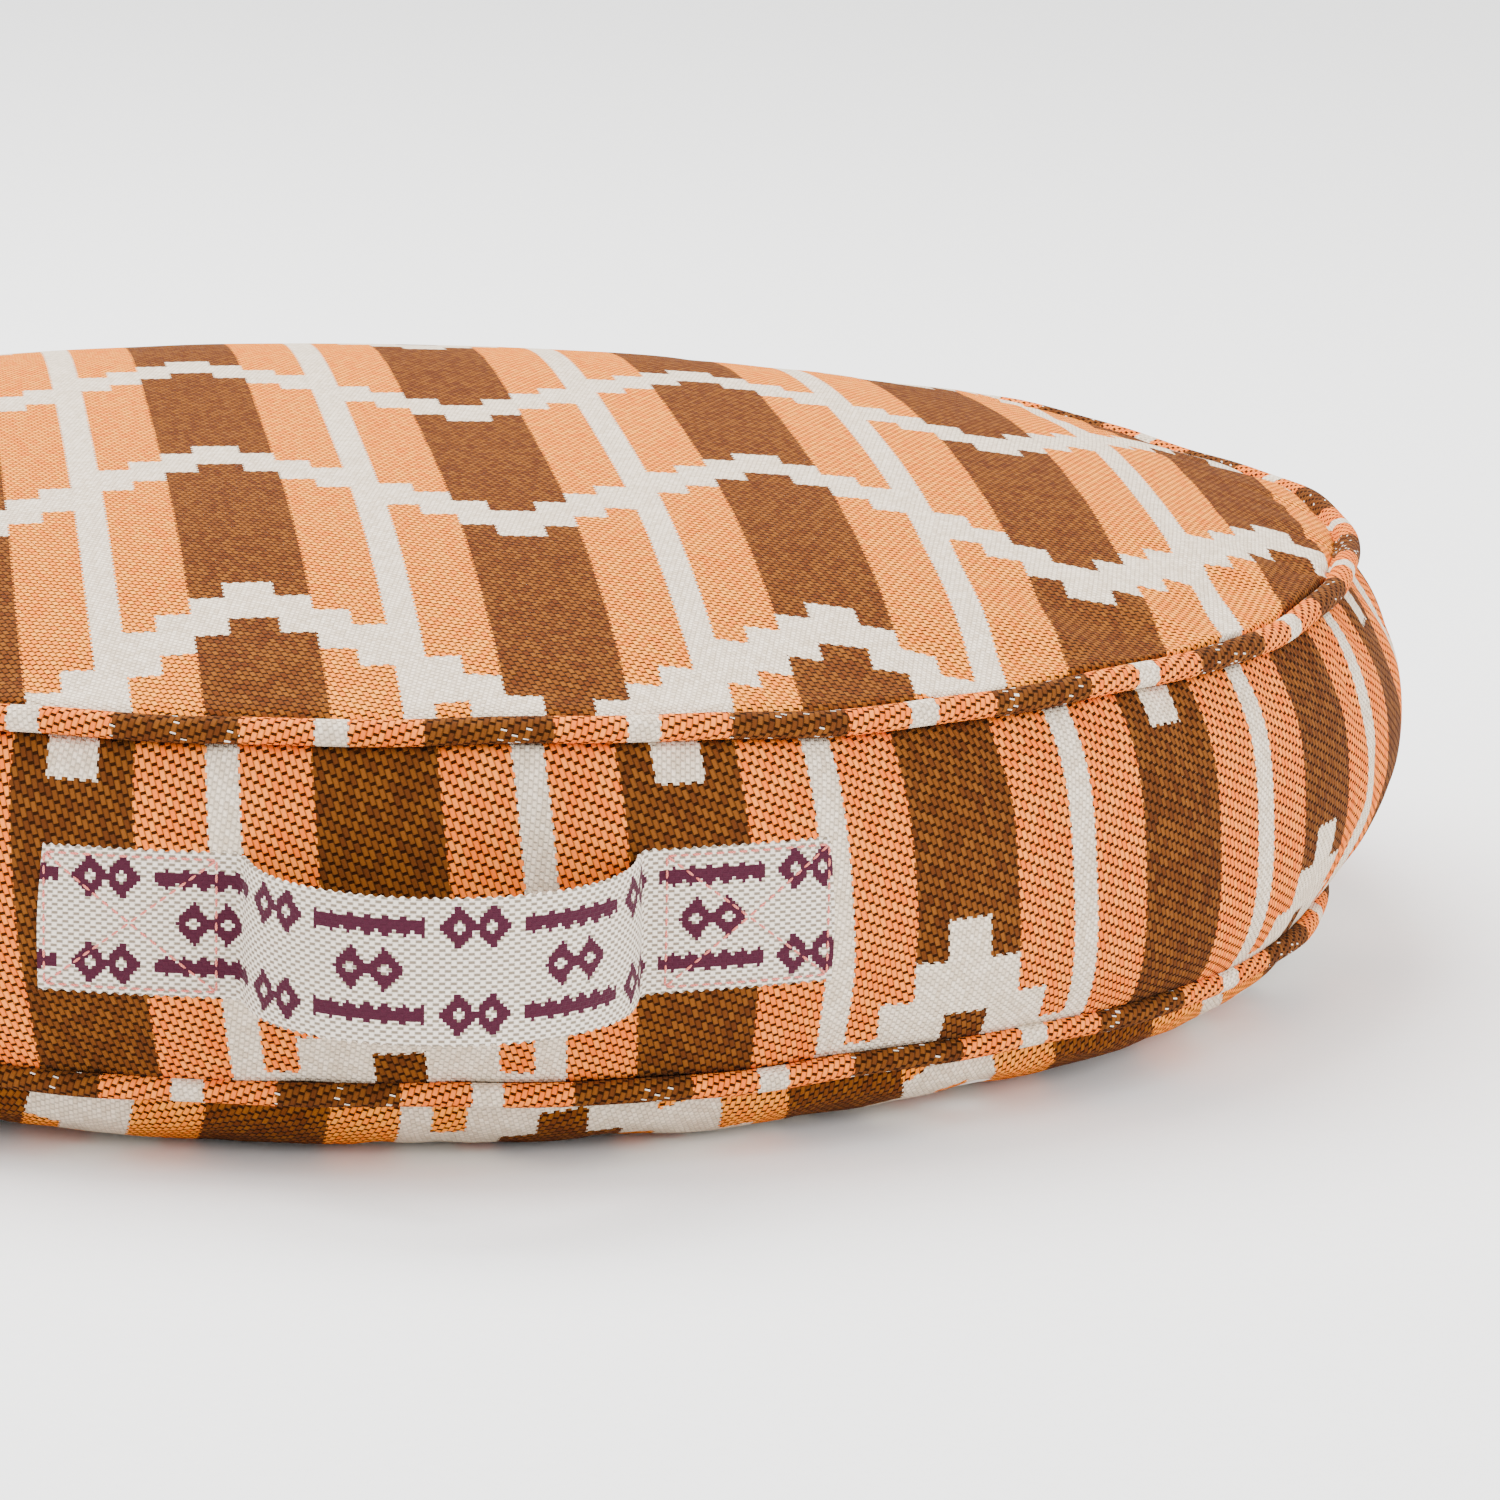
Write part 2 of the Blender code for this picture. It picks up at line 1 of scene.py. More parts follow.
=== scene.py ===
# %% [markdown]
# # A round floor cushion in striped jacquard
#
# The cushion is a cover with an inner pad. The cover is a top panel, a bottom panel and a border,
# joined by two piped seams, with a webbing handle at the front and a zip at the rear. Each sewn
# piece is its own object here, as it is its own piece of cloth on the sewing table.
#
# The origin is the middle of the patch that the cushion rests on. The handle is at -Y and +Z is up.

from math import asin, cos, pi, radians, sin, tan

import bpy
import numpy as np
from mathutils import Matrix, Vector


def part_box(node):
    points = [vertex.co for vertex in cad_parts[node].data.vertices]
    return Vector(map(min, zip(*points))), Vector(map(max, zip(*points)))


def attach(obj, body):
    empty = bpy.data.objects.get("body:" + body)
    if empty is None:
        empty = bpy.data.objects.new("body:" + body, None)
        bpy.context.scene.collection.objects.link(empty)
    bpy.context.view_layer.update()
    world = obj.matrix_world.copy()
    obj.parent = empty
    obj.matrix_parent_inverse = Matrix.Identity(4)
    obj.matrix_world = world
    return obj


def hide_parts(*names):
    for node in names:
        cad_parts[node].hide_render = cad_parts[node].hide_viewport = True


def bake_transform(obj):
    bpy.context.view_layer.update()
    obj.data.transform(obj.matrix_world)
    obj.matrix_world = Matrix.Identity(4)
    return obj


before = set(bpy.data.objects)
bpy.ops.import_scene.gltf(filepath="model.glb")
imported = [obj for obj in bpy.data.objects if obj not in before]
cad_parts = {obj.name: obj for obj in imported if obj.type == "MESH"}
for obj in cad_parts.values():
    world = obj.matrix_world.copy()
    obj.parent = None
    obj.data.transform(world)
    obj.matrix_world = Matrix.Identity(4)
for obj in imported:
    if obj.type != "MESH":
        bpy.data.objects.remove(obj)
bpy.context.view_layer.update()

# %% [markdown]
# ## Sizes
#
# All sizes are in metres. The cushion is 600 mm across over the piping and 145 mm high, and its
# two seams are 96.5 mm apart. The frame gives the heights, so the pieces follow it.

# %% Sizes of the cover
SEAM_RADIUS = 0.296          # to the middle of the piping
SKEW = 0.17                  # how far the cloth is drawn out of square on the right, as a share
SKEW_FROM, SKEW_EASE = 0.05, 0.03    # where that starts along X, and how softly
FOLD_RADIUS = 0.2918         # where the panels turn in beside the piping
PIPING_RADIUS = 0.004
LOWER_SEAM = sum(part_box("piping_cover_bottom")[i].z for i in (0, 1)) / 2
UPPER_SEAM = sum(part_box("piping_cover_top")[i].z for i in (0, 1)) / 2
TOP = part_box("top_panel")[1].z
BORDER_MID = (LOWER_SEAM + UPPER_SEAM) / 2
BORDER_HALF = (UPPER_SEAM - LOWER_SEAM) / 2 - PIPING_RADIUS
BULGE = 0.007                # how far the border swells past the seams
REST_RADIUS = 0.236          # the flat patch underneath
ZIP_HALF = radians(72)       # the zip panel reaches this far to each side of +Y
CLOTH = 0.0010
print("seams and top in mm:", [round(z * 1000, 1) for z in (LOWER_SEAM, UPPER_SEAM, TOP)])

# %% [markdown]
# ## Small helpers
#
# Operators act on whatever is selected, so one helper makes a single object the selected and
# active one. A second gives a piece its material and lets it move with a body of the frame.

# %% Selecting, reading and finishing
def pick(*pieces):
    """Select only these pieces and make the first one active."""
    bpy.ops.object.select_all(action="DESELECT")
    for piece in pieces:
        piece.select_set(True)
    bpy.context.view_layer.objects.active = pieces[0]
    return pieces[0]


def points_of(piece):
    flat = np.empty(len(piece.data.vertices) * 3)
    piece.data.vertices.foreach_get("co", flat)
    return flat.reshape(-1, 3)


def move_points(piece, points):
    piece.data.vertices.foreach_set("co", np.asarray(points, dtype=float).ravel())
    piece.data.update()


def finish_piece(piece, material, nodes=(), body="cover", crease=None):
    """Give a piece its material and its body, and hide the frame's nodes that it stands for.

    crease is the angle, in degrees, past which an edge stays sharp."""
    piece.data.materials.clear()
    piece.data.materials.append(material)
    if crease:
        pick(piece)
        bpy.ops.object.shade_smooth_by_angle(angle=radians(crease))
    else:
        piece.data.polygons.foreach_set("use_smooth", [True] * len(piece.data.polygons))
    if body:
        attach(piece, body)
    if nodes:
        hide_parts(*nodes)
    print(f"{piece.name}: {len(piece.data.polygons)} faces")


def around(radius, angle, height):
    """Points about the Z axis; the angle is 0 at the handle and rises towards +X."""
    radius, angle, height = np.broadcast_arrays(radius, angle, height)
    return np.stack([radius * np.sin(angle), -radius * np.cos(angle), height], axis=1)


def lengths_along(points):
    """How far along a line of points each one lies."""
    steps = np.linalg.norm(np.diff(np.asarray(points, dtype=float), axis=0), axis=1)
    return np.concatenate([[0], np.cumsum(steps)])


# %% A sheet from a grid
def sheet_grid(name, across, along, place):
    """Add a grid, move its points with place(u, v) and keep the cloth's own measure as a UV map.

    u and v run from 0 to 1. place gives the points, and where each lies on the flat cloth."""
    bpy.ops.object.select_all(action="DESELECT")
    bpy.ops.mesh.primitive_grid_add(x_subdivisions=across, y_subdivisions=along, size=1)
    piece = bpy.context.object
    piece.name = piece.data.name = name
    flat = points_of(piece)
    points, cloth = place(flat[:, 0] + 0.5, flat[:, 1] + 0.5)
    move_points(piece, points)
    corners = np.empty(len(piece.data.loops), dtype=np.int32)
    piece.data.loops.foreach_get("vertex_index", corners)
    layer = piece.data.uv_layers[0]
    layer.name = "cloth"
    layer.data.foreach_set("uv", np.asarray(cloth)[corners].ravel())
    return piece


def edit_all(piece, **operators):
    """Run mesh operators, each given by name with its settings, on the whole of a piece."""
    pick(piece)
    bpy.ops.object.mode_set(mode="EDIT")
    bpy.ops.mesh.select_all(action="SELECT")
    for name, settings in operators.items():
        getattr(bpy.ops.mesh, name)(**settings)
    bpy.ops.object.mode_set(mode="OBJECT")


def close_up(piece, outward=True):
    """Join the edges of a grid that meet, and point the faces outwards."""
    edit_all(piece, remove_doubles={"threshold": 0.00002})
    if outward:
        edit_all(piece, normals_make_consistent={"inside": False})


def subdivide_once(piece):
    pick(piece)
    smoother = piece.modifiers.new("finer", "SUBSURF")
    smoother.levels = smoother.render_levels = 1
    bpy.ops.object.modifier_apply(modifier=smoother.name)


def thicken(piece, depth=CLOTH):
    """Give cloth its thickness, inwards from the face that shows."""
    wall = piece.modifiers.new("thickness", "SOLIDIFY")
    wall.thickness = depth
    wall.offset = -1


# %% [markdown]
# ## A cushion is never a perfect drum
#
# The piping waves a little where the filling pushes and where the seam puckers. One smooth field
# moves every piece of the cover by the same rule, so neighbours stay together at the seams. It
# fades out half way down the border, where the handle and the zip are.

# %% The soft waves along the seams
SEAM_BAND, SIDE_BAND, SWELL_BAND = 0.019, 0.021, 0.030      # how high each movement reaches
LIFT, LIFT_BAND = 0.0030, 0.013      # the lower seam stands this much higher under load
# degrees from the handle, width, pull at the upper and at the lower seam, swell of the border
SIDES = (
    (82, 22, 0.0078, 0.0160, 0.0010),
    (116, 17, 0.0078, 0.0030, 0.0),
    (-84, 24, 0.0040, 0.0045, 0.0015),
    (172, 30, 0.0015, 0.0020, 0.0),
)


def lived_in(points):
    """Move points by a few millimetres: at the seams, and where the sides are pulled in."""
    points = np.array(points, dtype=float)
    x, y, z = points.T
    radius = np.hypot(x, y)
    angle = np.arctan2(x, -y)                       # 0 at the handle, rising towards +X
    reach = np.clip((radius - 0.16) / 0.12, 0, 1) ** 2
    out = np.zeros_like(z)
    up = np.zeros_like(z)
    for height, turn in ((UPPER_SEAM, 0.0), (LOWER_SEAM, 2.1)):
        near = np.exp(-((z - height) / SEAM_BAND) ** 2) * reach
        out += near * (0.0009 * np.sin(4 * angle + 0.6 + turn) + 0.0006 * np.sin(9 * angle + turn)
                       + 0.0003 * np.sin(23 * angle + 1.3 * turn))
        up += near * (0.0011 * np.sin(5 * angle + 1.9 + turn) + 0.0006 * np.sin(12 * angle + turn)
                      + 0.00025 * np.sin(31 * angle + turn))
    middle = np.exp(-((z - BORDER_MID) / SWELL_BAND) ** 2) * reach
    for at, wide, upper_pull, lower_pull, swell in SIDES:
        turn = np.arctan2(np.sin(angle - radians(at)), np.cos(angle - radians(at))) / radians(wide)
        side = np.exp(-turn ** 2)
        out -= side * reach * upper_pull * np.exp(-((z - UPPER_SEAM) / SIDE_BAND) ** 2)
        out -= side * reach * lower_pull * np.exp(-((z - LOWER_SEAM) / SIDE_BAND) ** 2)
        out += side * middle * swell
    up += LIFT * np.exp(-((z - LOWER_SEAM) / LIFT_BAND) ** 2) * reach
    scale = 1 + out / np.maximum(radius, 0.05)
    return np.stack([x * scale, y * scale, z + np.where(z > 0.004, up, up * z / 0.004)], axis=1)


# %% [markdown]
# ## Materials
#
# Every finish is built from shader nodes. Colours are written as hex values, as a paint chart
# gives them, and one function turns them into the linear values that the renderer works in.

# %% Colour and node helpers
def linear(hexed):
    """A colour such as "F3B684", from sRGB to linear, with full alpha."""
    parts = [int(hexed[i : i + 2], 16) / 255 for i in (0, 2, 4)]
    return (*[c / 12.92 if c <= 0.04045 else ((c + 0.055) / 1.055) ** 2.4 for c in parts], 1.0)


def new_finish(name):
    """An empty material's tree, with its shader joined to the output."""
    material = bpy.data.materials.new(name)
    material.use_nodes = True
    tree = material.node_tree
    tree.nodes.clear()
    shader = tree.nodes.new("ShaderNodeBsdfPrincipled")
    output = tree.nodes.new("ShaderNodeOutputMaterial")
    tree.links.new(shader.outputs[0], output.inputs[0])
    return material, tree, shader


def add(tree, kind, *inputs, **settings):
    """Add a node, set its settings, then fill its inputs in order with values or links."""
    node = tree.nodes.new(kind)
    for name, value in settings.items():
        setattr(node, name, value)
    for socket, value in zip([s for s in node.inputs if s.enabled], inputs):
        if value is None:
            continue
        if isinstance(value, bpy.types.Node):
            value = next(s for s in value.outputs if s.enabled)
        if isinstance(value, bpy.types.NodeSocket):
            tree.links.new(value, socket)
        else:
            socket.default_value = value
    return node


MATH, MIX, RAMP = "ShaderNodeMath", "ShaderNodeMix", "ShaderNodeMapRange"
VECTOR, NOISE = "ShaderNodeVectorMath", "ShaderNodeTexNoise"


def dress(shader, values):
    """Set a shader's inputs by name, each to a plain value or to a node's result."""
    for name, value in values.items():
        if isinstance(value, bpy.types.Node):
            result = next(s for s in value.outputs if s.enabled)
            shader.id_data.links.new(result, shader.inputs[name])
        else:
            shader.inputs[name].default_value = value


# %% [markdown]
# ### Cotton jacquard
#
# A jacquard loom picks each warp yarn by itself, so the stripes and the stepped zigzag are woven
# in, not printed. The cloth has columns 77.3 mm wide: a brown middle, an orange band to each side,
# and a cream stripe between columns. A cream zigzag, 28 mm thick, climbs through them in steps of
# 9.5 by 11.7 mm: it points up in one column and down in the next.
#
# The brown and orange areas are long yarn floats, 1.5 mm apart, which lean a little. Between one
# float and the next lies a short dark gap, where the yarn dips under the dark weft, deepened with
# painted shade; a painted shade line runs along one side of each float. Cream areas are woven
# close and nearly plain, with painted shade in the dips between their yarns. The shader reads
# the cloth's own UV map, which is in metres.

# %% The jacquard's pattern
COLUMN = 77.3                # mm, from one cream stripe to the next
STEP = 11.683                # mm, height of one step of the zigzag
ROWS = 14                    # steps from one zigzag to the next
THICK = 2.4                  # thickness of the zigzag, in steps
STEP_EDGES = (6.6, 16.0, 25.5, 34.5)     # mm from a column's middle
FLOAT_PITCH, FLOAT_LENGTH, FLOAT_LEAN = 1.5, 3.3, radians(15)
FLOAT_OFFSET = 0.38          # each row of floats starts this share of a float further on


def cloth_measure(tree):
    """The cloth's own two directions, in millimetres."""
    uv = add(tree, "ShaderNodeUVMap", uv_map="cloth")
    scaled = add(tree, VECTOR, uv, (1000, 1000, 1000), operation="MULTIPLY")
    split = add(tree, "ShaderNodeSeparateXYZ", scaled)
    return scaled, split.outputs[0], split.outputs[1]


def yarn_teeth(tree, along, across, pitch, reach):
    """Push a pattern's edge in and out with every other yarn."""
    turn = add(tree, MATH, add(tree, MATH, across, pitch * 2, operation="DIVIDE"),
               operation="FRACT")
    side = add(tree, MATH, turn, 0.5, operation="GREATER_THAN")
    return add(tree, MATH, side, reach, along, operation="MULTIPLY_ADD")


def zigzag_masks(tree, u, v):
    """1 in cream, and 1 in brown; the rest is orange."""
    u = yarn_teeth(tree, u, v, 1.5, 0.5)
    v = yarn_teeth(tree, v, u, 1.6, 0.7)
    columns = add(tree, MATH, u, COLUMN, operation="DIVIDE")
    number = add(tree, MATH, columns, operation="FLOOR")
    odd = add(tree, MATH, number, 2.0, operation="FLOORED_MODULO")
    inside = add(tree, MATH, add(tree, MATH, columns, operation="FRACT"), 0.5, operation="SUBTRACT")
    away = add(tree, MATH, add(tree, MATH, inside, operation="ABSOLUTE"), COLUMN,
               operation="MULTIPLY")
    step = None
    for edge in STEP_EDGES:
        past = add(tree, MATH, away, edge, operation="GREATER_THAN")
        step = past if step is None else add(tree, MATH, step, past, operation="ADD")
    turned = add(tree, MATH, step, -2.0, 8.0, operation="MULTIPLY_ADD")
    level = add(tree, MATH, odd, turned, step, operation="MULTIPLY_ADD")
    height = add(tree, MATH, v, -1 / STEP, operation="MULTIPLY")
    row = add(tree, MATH, height, level, operation="SUBTRACT")
    zigzag = add(tree, MATH, add(tree, MATH, row, float(ROWS), operation="FLOORED_MODULO"), THICK,
                 operation="LESS_THAN")
    stripe = add(tree, MATH, away, STEP_EDGES[-1], operation="GREATER_THAN")
    cream = add(tree, MATH, zigzag, stripe, operation="MAXIMUM")
    middle = add(tree, MATH, away, STEP_EDGES[1], operation="LESS_THAN")
    brown = add(tree, MATH, middle, cream, operation="SUBTRACT", use_clamp=True)
    return cream, brown


def from_middle(tree, share):
    """How far a share from 0 to 1 is from a half."""
    return add(tree, MATH, add(tree, MATH, share, 0.5, operation="SUBTRACT"), operation="ABSOLUTE")


def yarn_floats(tree, u, v, pitch, length, lean):
    """Height of the floats, their end gaps with a painted shade line along one side of each float,
    the end gaps alone, and a number for each.
    """
    c, s = cos(lean), sin(lean)
    side = add(tree, MATH, v, s / pitch, operation="MULTIPLY")
    across = add(tree, MATH, u, c / pitch, side, operation="MULTIPLY_ADD")
    row = add(tree, MATH, across, operation="FLOOR")
    rise = add(tree, MATH, v, c / length, operation="MULTIPLY")
    along = add(tree, MATH, u, -s / length, rise, operation="MULTIPLY_ADD")
    shifted = add(tree, MATH, row, FLOAT_OFFSET, along, operation="MULTIPLY_ADD")
    place = add(tree, MATH, shifted, operation="FRACT")
    number = add(tree, MATH, shifted, operation="FLOOR")
    fract = add(tree, MATH, across, operation="FRACT")
    off, end = from_middle(tree, fract), from_middle(tree, place)
    round_side = add(tree, RAMP, off, 0.30, 0.5, 1.0, 0.0, interpolation_type="SMOOTHSTEP")
    round_end = add(tree, RAMP, end, 0.34, 0.46, 1.0, 0.0, interpolation_type="SMOOTHSTEP")
    height = add(tree, MATH, round_side, round_end, operation="MULTIPLY")
    short = add(tree, MATH, end, 0.375, operation="GREATER_THAN")
    # painted shade: a dark line along one side of each float
    beside = add(tree, RAMP, fract, 0.74, 0.96, 0.0, 0.72)
    gap_and_side_shade = add(tree, MATH, short, beside, operation="MAXIMUM")
    cell = add(tree, "ShaderNodeCombineXYZ", row, number, 0.0)
    chance = add(tree, "ShaderNodeTexWhiteNoise", cell, noise_dimensions="2D")
    return height, gap_and_side_shade, short, chance.outputs[0]


# %% The jacquard's finish
def jacquard(name, orange=("F47B12", "FF9A2E"), brown_yarn=("5C2D10", "7E4816"), glints=0.0):
    """Each colour is a pair, for the darker and the paler yarns. glints is the share of the brown's
    end gaps that are painted near-white, as painted glints of light."""
    material, tree, shader = new_finish(name)
    mm, u, v = cloth_measure(tree)
    drift = add(tree, NOISE, mm, None, 0.035, 2.0, noise_dimensions="3D")
    fuzz = add(tree, NOISE, mm, None, 0.9, 2.0, noise_dimensions="3D")
    cream, brown = zigzag_masks(tree, u, v)
    height, gap_and_side_shade, ends, chance = yarn_floats(tree, u, v, FLOAT_PITCH, FLOAT_LENGTH, FLOAT_LEAN)
    plain, plain_gap_shade, _, plain_chance = yarn_floats(tree, u, v, 1.25, 1.9, -0.2)
    light = add(tree, MIX, chance, linear(orange[0]), linear(orange[1]), data_type="RGBA")
    dark = add(tree, MIX, chance, linear(brown_yarn[0]), linear(brown_yarn[1]), data_type="RGBA")
    field = add(tree, MIX, brown, light, dark, data_type="RGBA")
    # the end gaps show the dark weft, deepened with painted shade; the side lines are painted shade
    gap_and_shade_tone = add(tree, MIX, brown, linear("0A0302"), linear("231004"), data_type="RGBA")
    if glints:
        # painted glints: near-white specks in some of the brown's end gaps
        picked = add(tree, MATH, chance, 1 - glints, operation="GREATER_THAN")
        glint_spots = add(tree, MATH, add(tree, MATH, picked, ends, operation="MULTIPLY"), brown,
                      operation="MULTIPLY")
        gap_and_shade_tone = add(tree, MIX, glint_spots, gap_and_shade_tone, linear("F0E6DA"), data_type="RGBA")
    gap_and_shade_seen = add(tree, MATH, gap_and_side_shade, 0.96, operation="MULTIPLY")
    field = add(tree, MIX, gap_and_shade_seen, field, gap_and_shade_tone, data_type="RGBA")
    pale = add(tree, MIX, plain_chance, linear("D4C1A9"), linear("F0DFC9"), data_type="RGBA")
    # painted shade: the cream's dips between yarns are darkened towards grey-brown
    dip_shade = add(tree, MATH, plain_gap_shade, 0.42, operation="MULTIPLY")
    cream_with_dip_shade = add(tree, MIX, dip_shade, pale, linear("7E7060"), data_type="RGBA")
    colour = add(tree, MIX, cream, field, cream_with_dip_shade, data_type="RGBA")
    shade = add(tree, RAMP, drift, 0.3, 0.7, 0.94, 1.04)
    colour = add(tree, VECTOR, colour, shade, operation="MULTIPLY")
    relief = add(tree, MIX, cream, height, plain)
    relief = add(tree, MATH, fuzz, 0.35, relief, operation="MULTIPLY_ADD")
    bump = add(tree, "ShaderNodeBump", 0.75, 0.0005, 1.0, relief)
    dress(shader, {"Base Color": colour, "Normal": bump, "Roughness": 0.88,
                   "Specular IOR Level": 0.03, "Sheen Weight": 0.01, "Sheen Roughness": 0.5})
    return material


# the upright side and the piping get deeper, darker yarn colours than the top: painted shade,
# given as a shaded copy of the same cloth
shaded_yarns = {"orange": ("EE6A12", "FF8C32"), "brown_yarn": ("532B12", "764419")}
woven_jacquard = jacquard("cotton_jacquard_woven")
border_jacquard_shaded = jacquard("cotton_jacquard_border_painted_shade", **shaded_yarns)
bias_jacquard_shaded_glints = jacquard("cotton_jacquard_bias_cut_painted_shade_glints", **shaded_yarns, glints=0.1)
print("jacquard nodes:", len(woven_jacquard.node_tree.nodes))

# %% [markdown]
# ### Cotton webbing
#
# The handle is a strong cotton tape, woven narrow on its own loom, with a plum pattern in the
# weave: dashes along both edges and small open diamonds between them. The weave's short slots lie
# in rows like bricks, and each is painted dark as shade. The UV map gives metres along and across
# the tape.

# %% The webbing's finish
PERIOD = 54.0                # mm, one repeat of the woven pattern
MOTIF_AT = 5.0               # mm from the middle of the handle to the middle of an edge motif
EDGE_ROW = 11.3              # mm from the middle of the tape to an edge row
THREAD_STEP = 0.9            # mm, one thread of the pattern


def diamonds(tree, x, y):
    """Two open diamonds side by side, 17 mm wide and 9 mm high, about a pattern's own middle."""
    aside = add(tree, MATH, add(tree, MATH, x, operation="ABSOLUTE"), 4.3, operation="SUBTRACT")
    wide = add(tree, MATH, add(tree, MATH, aside, operation="ABSOLUTE"), 1 / 4.6,
               operation="MULTIPLY")
    high = add(tree, MATH, add(tree, MATH, y, operation="ABSOLUTE"), 1 / 5.4, operation="MULTIPLY")
    reach = add(tree, MATH, wide, high, operation="ADD")
    ring = add(tree, MATH, add(tree, MATH, reach, 0.72, operation="SUBTRACT"), operation="ABSOLUTE")
    return add(tree, MATH, ring, 0.36, operation="LESS_THAN")


def centred(tree, value, start):
    """Distance to the nearest repeat of the pattern, with its sign."""
    moved = add(tree, MATH, value, PERIOD / 2 - start, operation="ADD")
    inside = add(tree, MATH, moved, PERIOD, operation="FLOORED_MODULO")
    return add(tree, MATH, inside, PERIOD / 2, operation="SUBTRACT")


def webbing_finish(name):
    material, tree, shader = new_finish(name)
    mm, u, v = cloth_measure(tree)
    along = add(tree, MATH, u, THREAD_STEP, operation="SNAP")
    across = add(tree, MATH, v, THREAD_STEP, operation="SNAP")
    edge_x = centred(tree, along, MOTIF_AT)
    middle_x = centred(tree, along, MOTIF_AT + PERIOD / 2)
    folded = add(tree, MATH, add(tree, MATH, across, operation="ABSOLUTE"), EDGE_ROW,
                 operation="SUBTRACT")
    plum = add(tree, MATH, diamonds(tree, edge_x, folded), diamonds(tree, middle_x, across),
               operation="MAXIMUM")
    wave = add(tree, MATH, add(tree, MATH, along, 1.35, operation="MULTIPLY"), operation="SINE")
    swell = add(tree, MATH, wave, 0.6, 1.9, operation="MULTIPLY_ADD")
    thin = add(tree, MATH, add(tree, MATH, folded, operation="ABSOLUTE"), swell,
               operation="LESS_THAN")
    short = add(tree, MATH, add(tree, MATH, middle_x, operation="ABSOLUTE"), 14.5,
                operation="LESS_THAN")
    dash = add(tree, MATH, thin, short, operation="MULTIPLY")
    plum = add(tree, MATH, plum, dash, operation="MAXIMUM")
    row = add(tree, MATH, v, 1 / 1.07, operation="MULTIPLY")
    rank = add(tree, MATH, row, operation="FLOOR")
    lengths = add(tree, MATH, u, 1 / 2.9, operation="MULTIPLY")
    brick = add(tree, MATH, rank, 0.5, lengths, operation="MULTIPLY_ADD")
    slot_u = from_middle(tree, add(tree, MATH, brick, operation="FRACT"))
    slot_v = from_middle(tree, add(tree, MATH, row, operation="FRACT"))
    deep_u = add(tree, RAMP, slot_u, 0.20, 0.36, 0.0, 1.0, interpolation_type="SMOOTHSTEP")
    deep_v = add(tree, RAMP, slot_v, 0.20, 0.48, 0.0, 1.0, interpolation_type="SMOOTHSTEP")
    relief = add(tree, MATH, deep_u, deep_v, operation="MAXIMUM")
    fuzz = add(tree, NOISE, mm, None, 1.1, 2.0, noise_dimensions="3D")
    soft = add(tree, NOISE, mm, None, 0.05, 2.0, noise_dimensions="3D")
    # painted shade: the middle of each slot, where the bump dips, gets the dark colour
    ground_with_slot_shade = add(tree, MIX, relief, linear("857868"), linear("E8DCCD"), data_type="RGBA")
    plum_tone = add(tree, MIX, fuzz.outputs[0], linear("2C0C18"), linear("562638"),
                    data_type="RGBA")
    colour = add(tree, MIX, plum, ground_with_slot_shade, plum_tone, data_type="RGBA")
    shade = add(tree, RAMP, soft, 0.3, 0.7, 0.95, 1.03)
    colour = add(tree, VECTOR, colour, shade, operation="MULTIPLY")
    relief = add(tree, MATH, fuzz, 0.4, relief, operation="MULTIPLY_ADD")
    bump = add(tree, "ShaderNodeBump", 0.6, 0.0004, 1.0, relief)
    dress(shader, {"Base Color": colour, "Normal": bump, "Roughness": 0.82, "Sheen Weight": 0.05,
                   "Specular IOR Level": 0.05})
    return material


woven_webbing = webbing_finish("cotton_webbing_jacquard_woven")

# %% [markdown]
# ### Thread, tape, cord and the filling
#
# These are plain textiles. Each gets its yarn as a pattern: a twist on thread and cord, a fine
# weave on the zip tape and the liner, and loose fibres on the filling. The same pattern sets the
# colour, so the dips between yarns get the darker colour, as painted shade.

# %% Plain textiles
def textile(name, dark, light, pitch, strength=0.5, twist=False, fluff=0.4):
    """Yarns of the given pitch in mm, woven square or twisted like a rope."""
    material, tree, shader = new_finish(name)
    mm, u, v = cloth_measure(tree)
    turns = 2 * pi / pitch
    first = add(tree, MATH, add(tree, MATH, u, turns, operation="MULTIPLY"), operation="SINE")
    second = add(tree, MATH, add(tree, MATH, v, turns, operation="MULTIPLY"), operation="SINE")
    if twist:
        slanted = add(tree, MATH, u, turns, add(tree, MATH, v, turns, operation="MULTIPLY"),
                      operation="MULTIPLY_ADD")
        weave = add(tree, MATH, add(tree, MATH, slanted, operation="SINE"), 0.5, 0.5,
                    operation="MULTIPLY_ADD")
    else:
        weave = add(tree, MATH, add(tree, MATH, first, second, operation="MULTIPLY"), 0.5, 0.5,
                    operation="MULTIPLY_ADD")
    fuzz = add(tree, NOISE, mm, None, 1.5 / pitch, 3.0, noise_dimensions="3D")
    mottle = add(tree, MATH, fuzz, fluff, add(tree, MATH, weave, 1 - fluff, operation="MULTIPLY"),
                 operation="MULTIPLY_ADD")
    # the darker colour falls in the pattern's dips: painted shade, with the fuzz as random tone
    colour = add(tree, MIX, mottle, linear(dark), linear(light), data_type="RGBA")
    bump = add(tree, "ShaderNodeBump", strength, pitch * 0.0003, 1.0, mottle)
    dress(shader, {"Base Color": colour, "Normal": bump, "Roughness": 0.85, "Sheen Weight": 0.2})
    return material


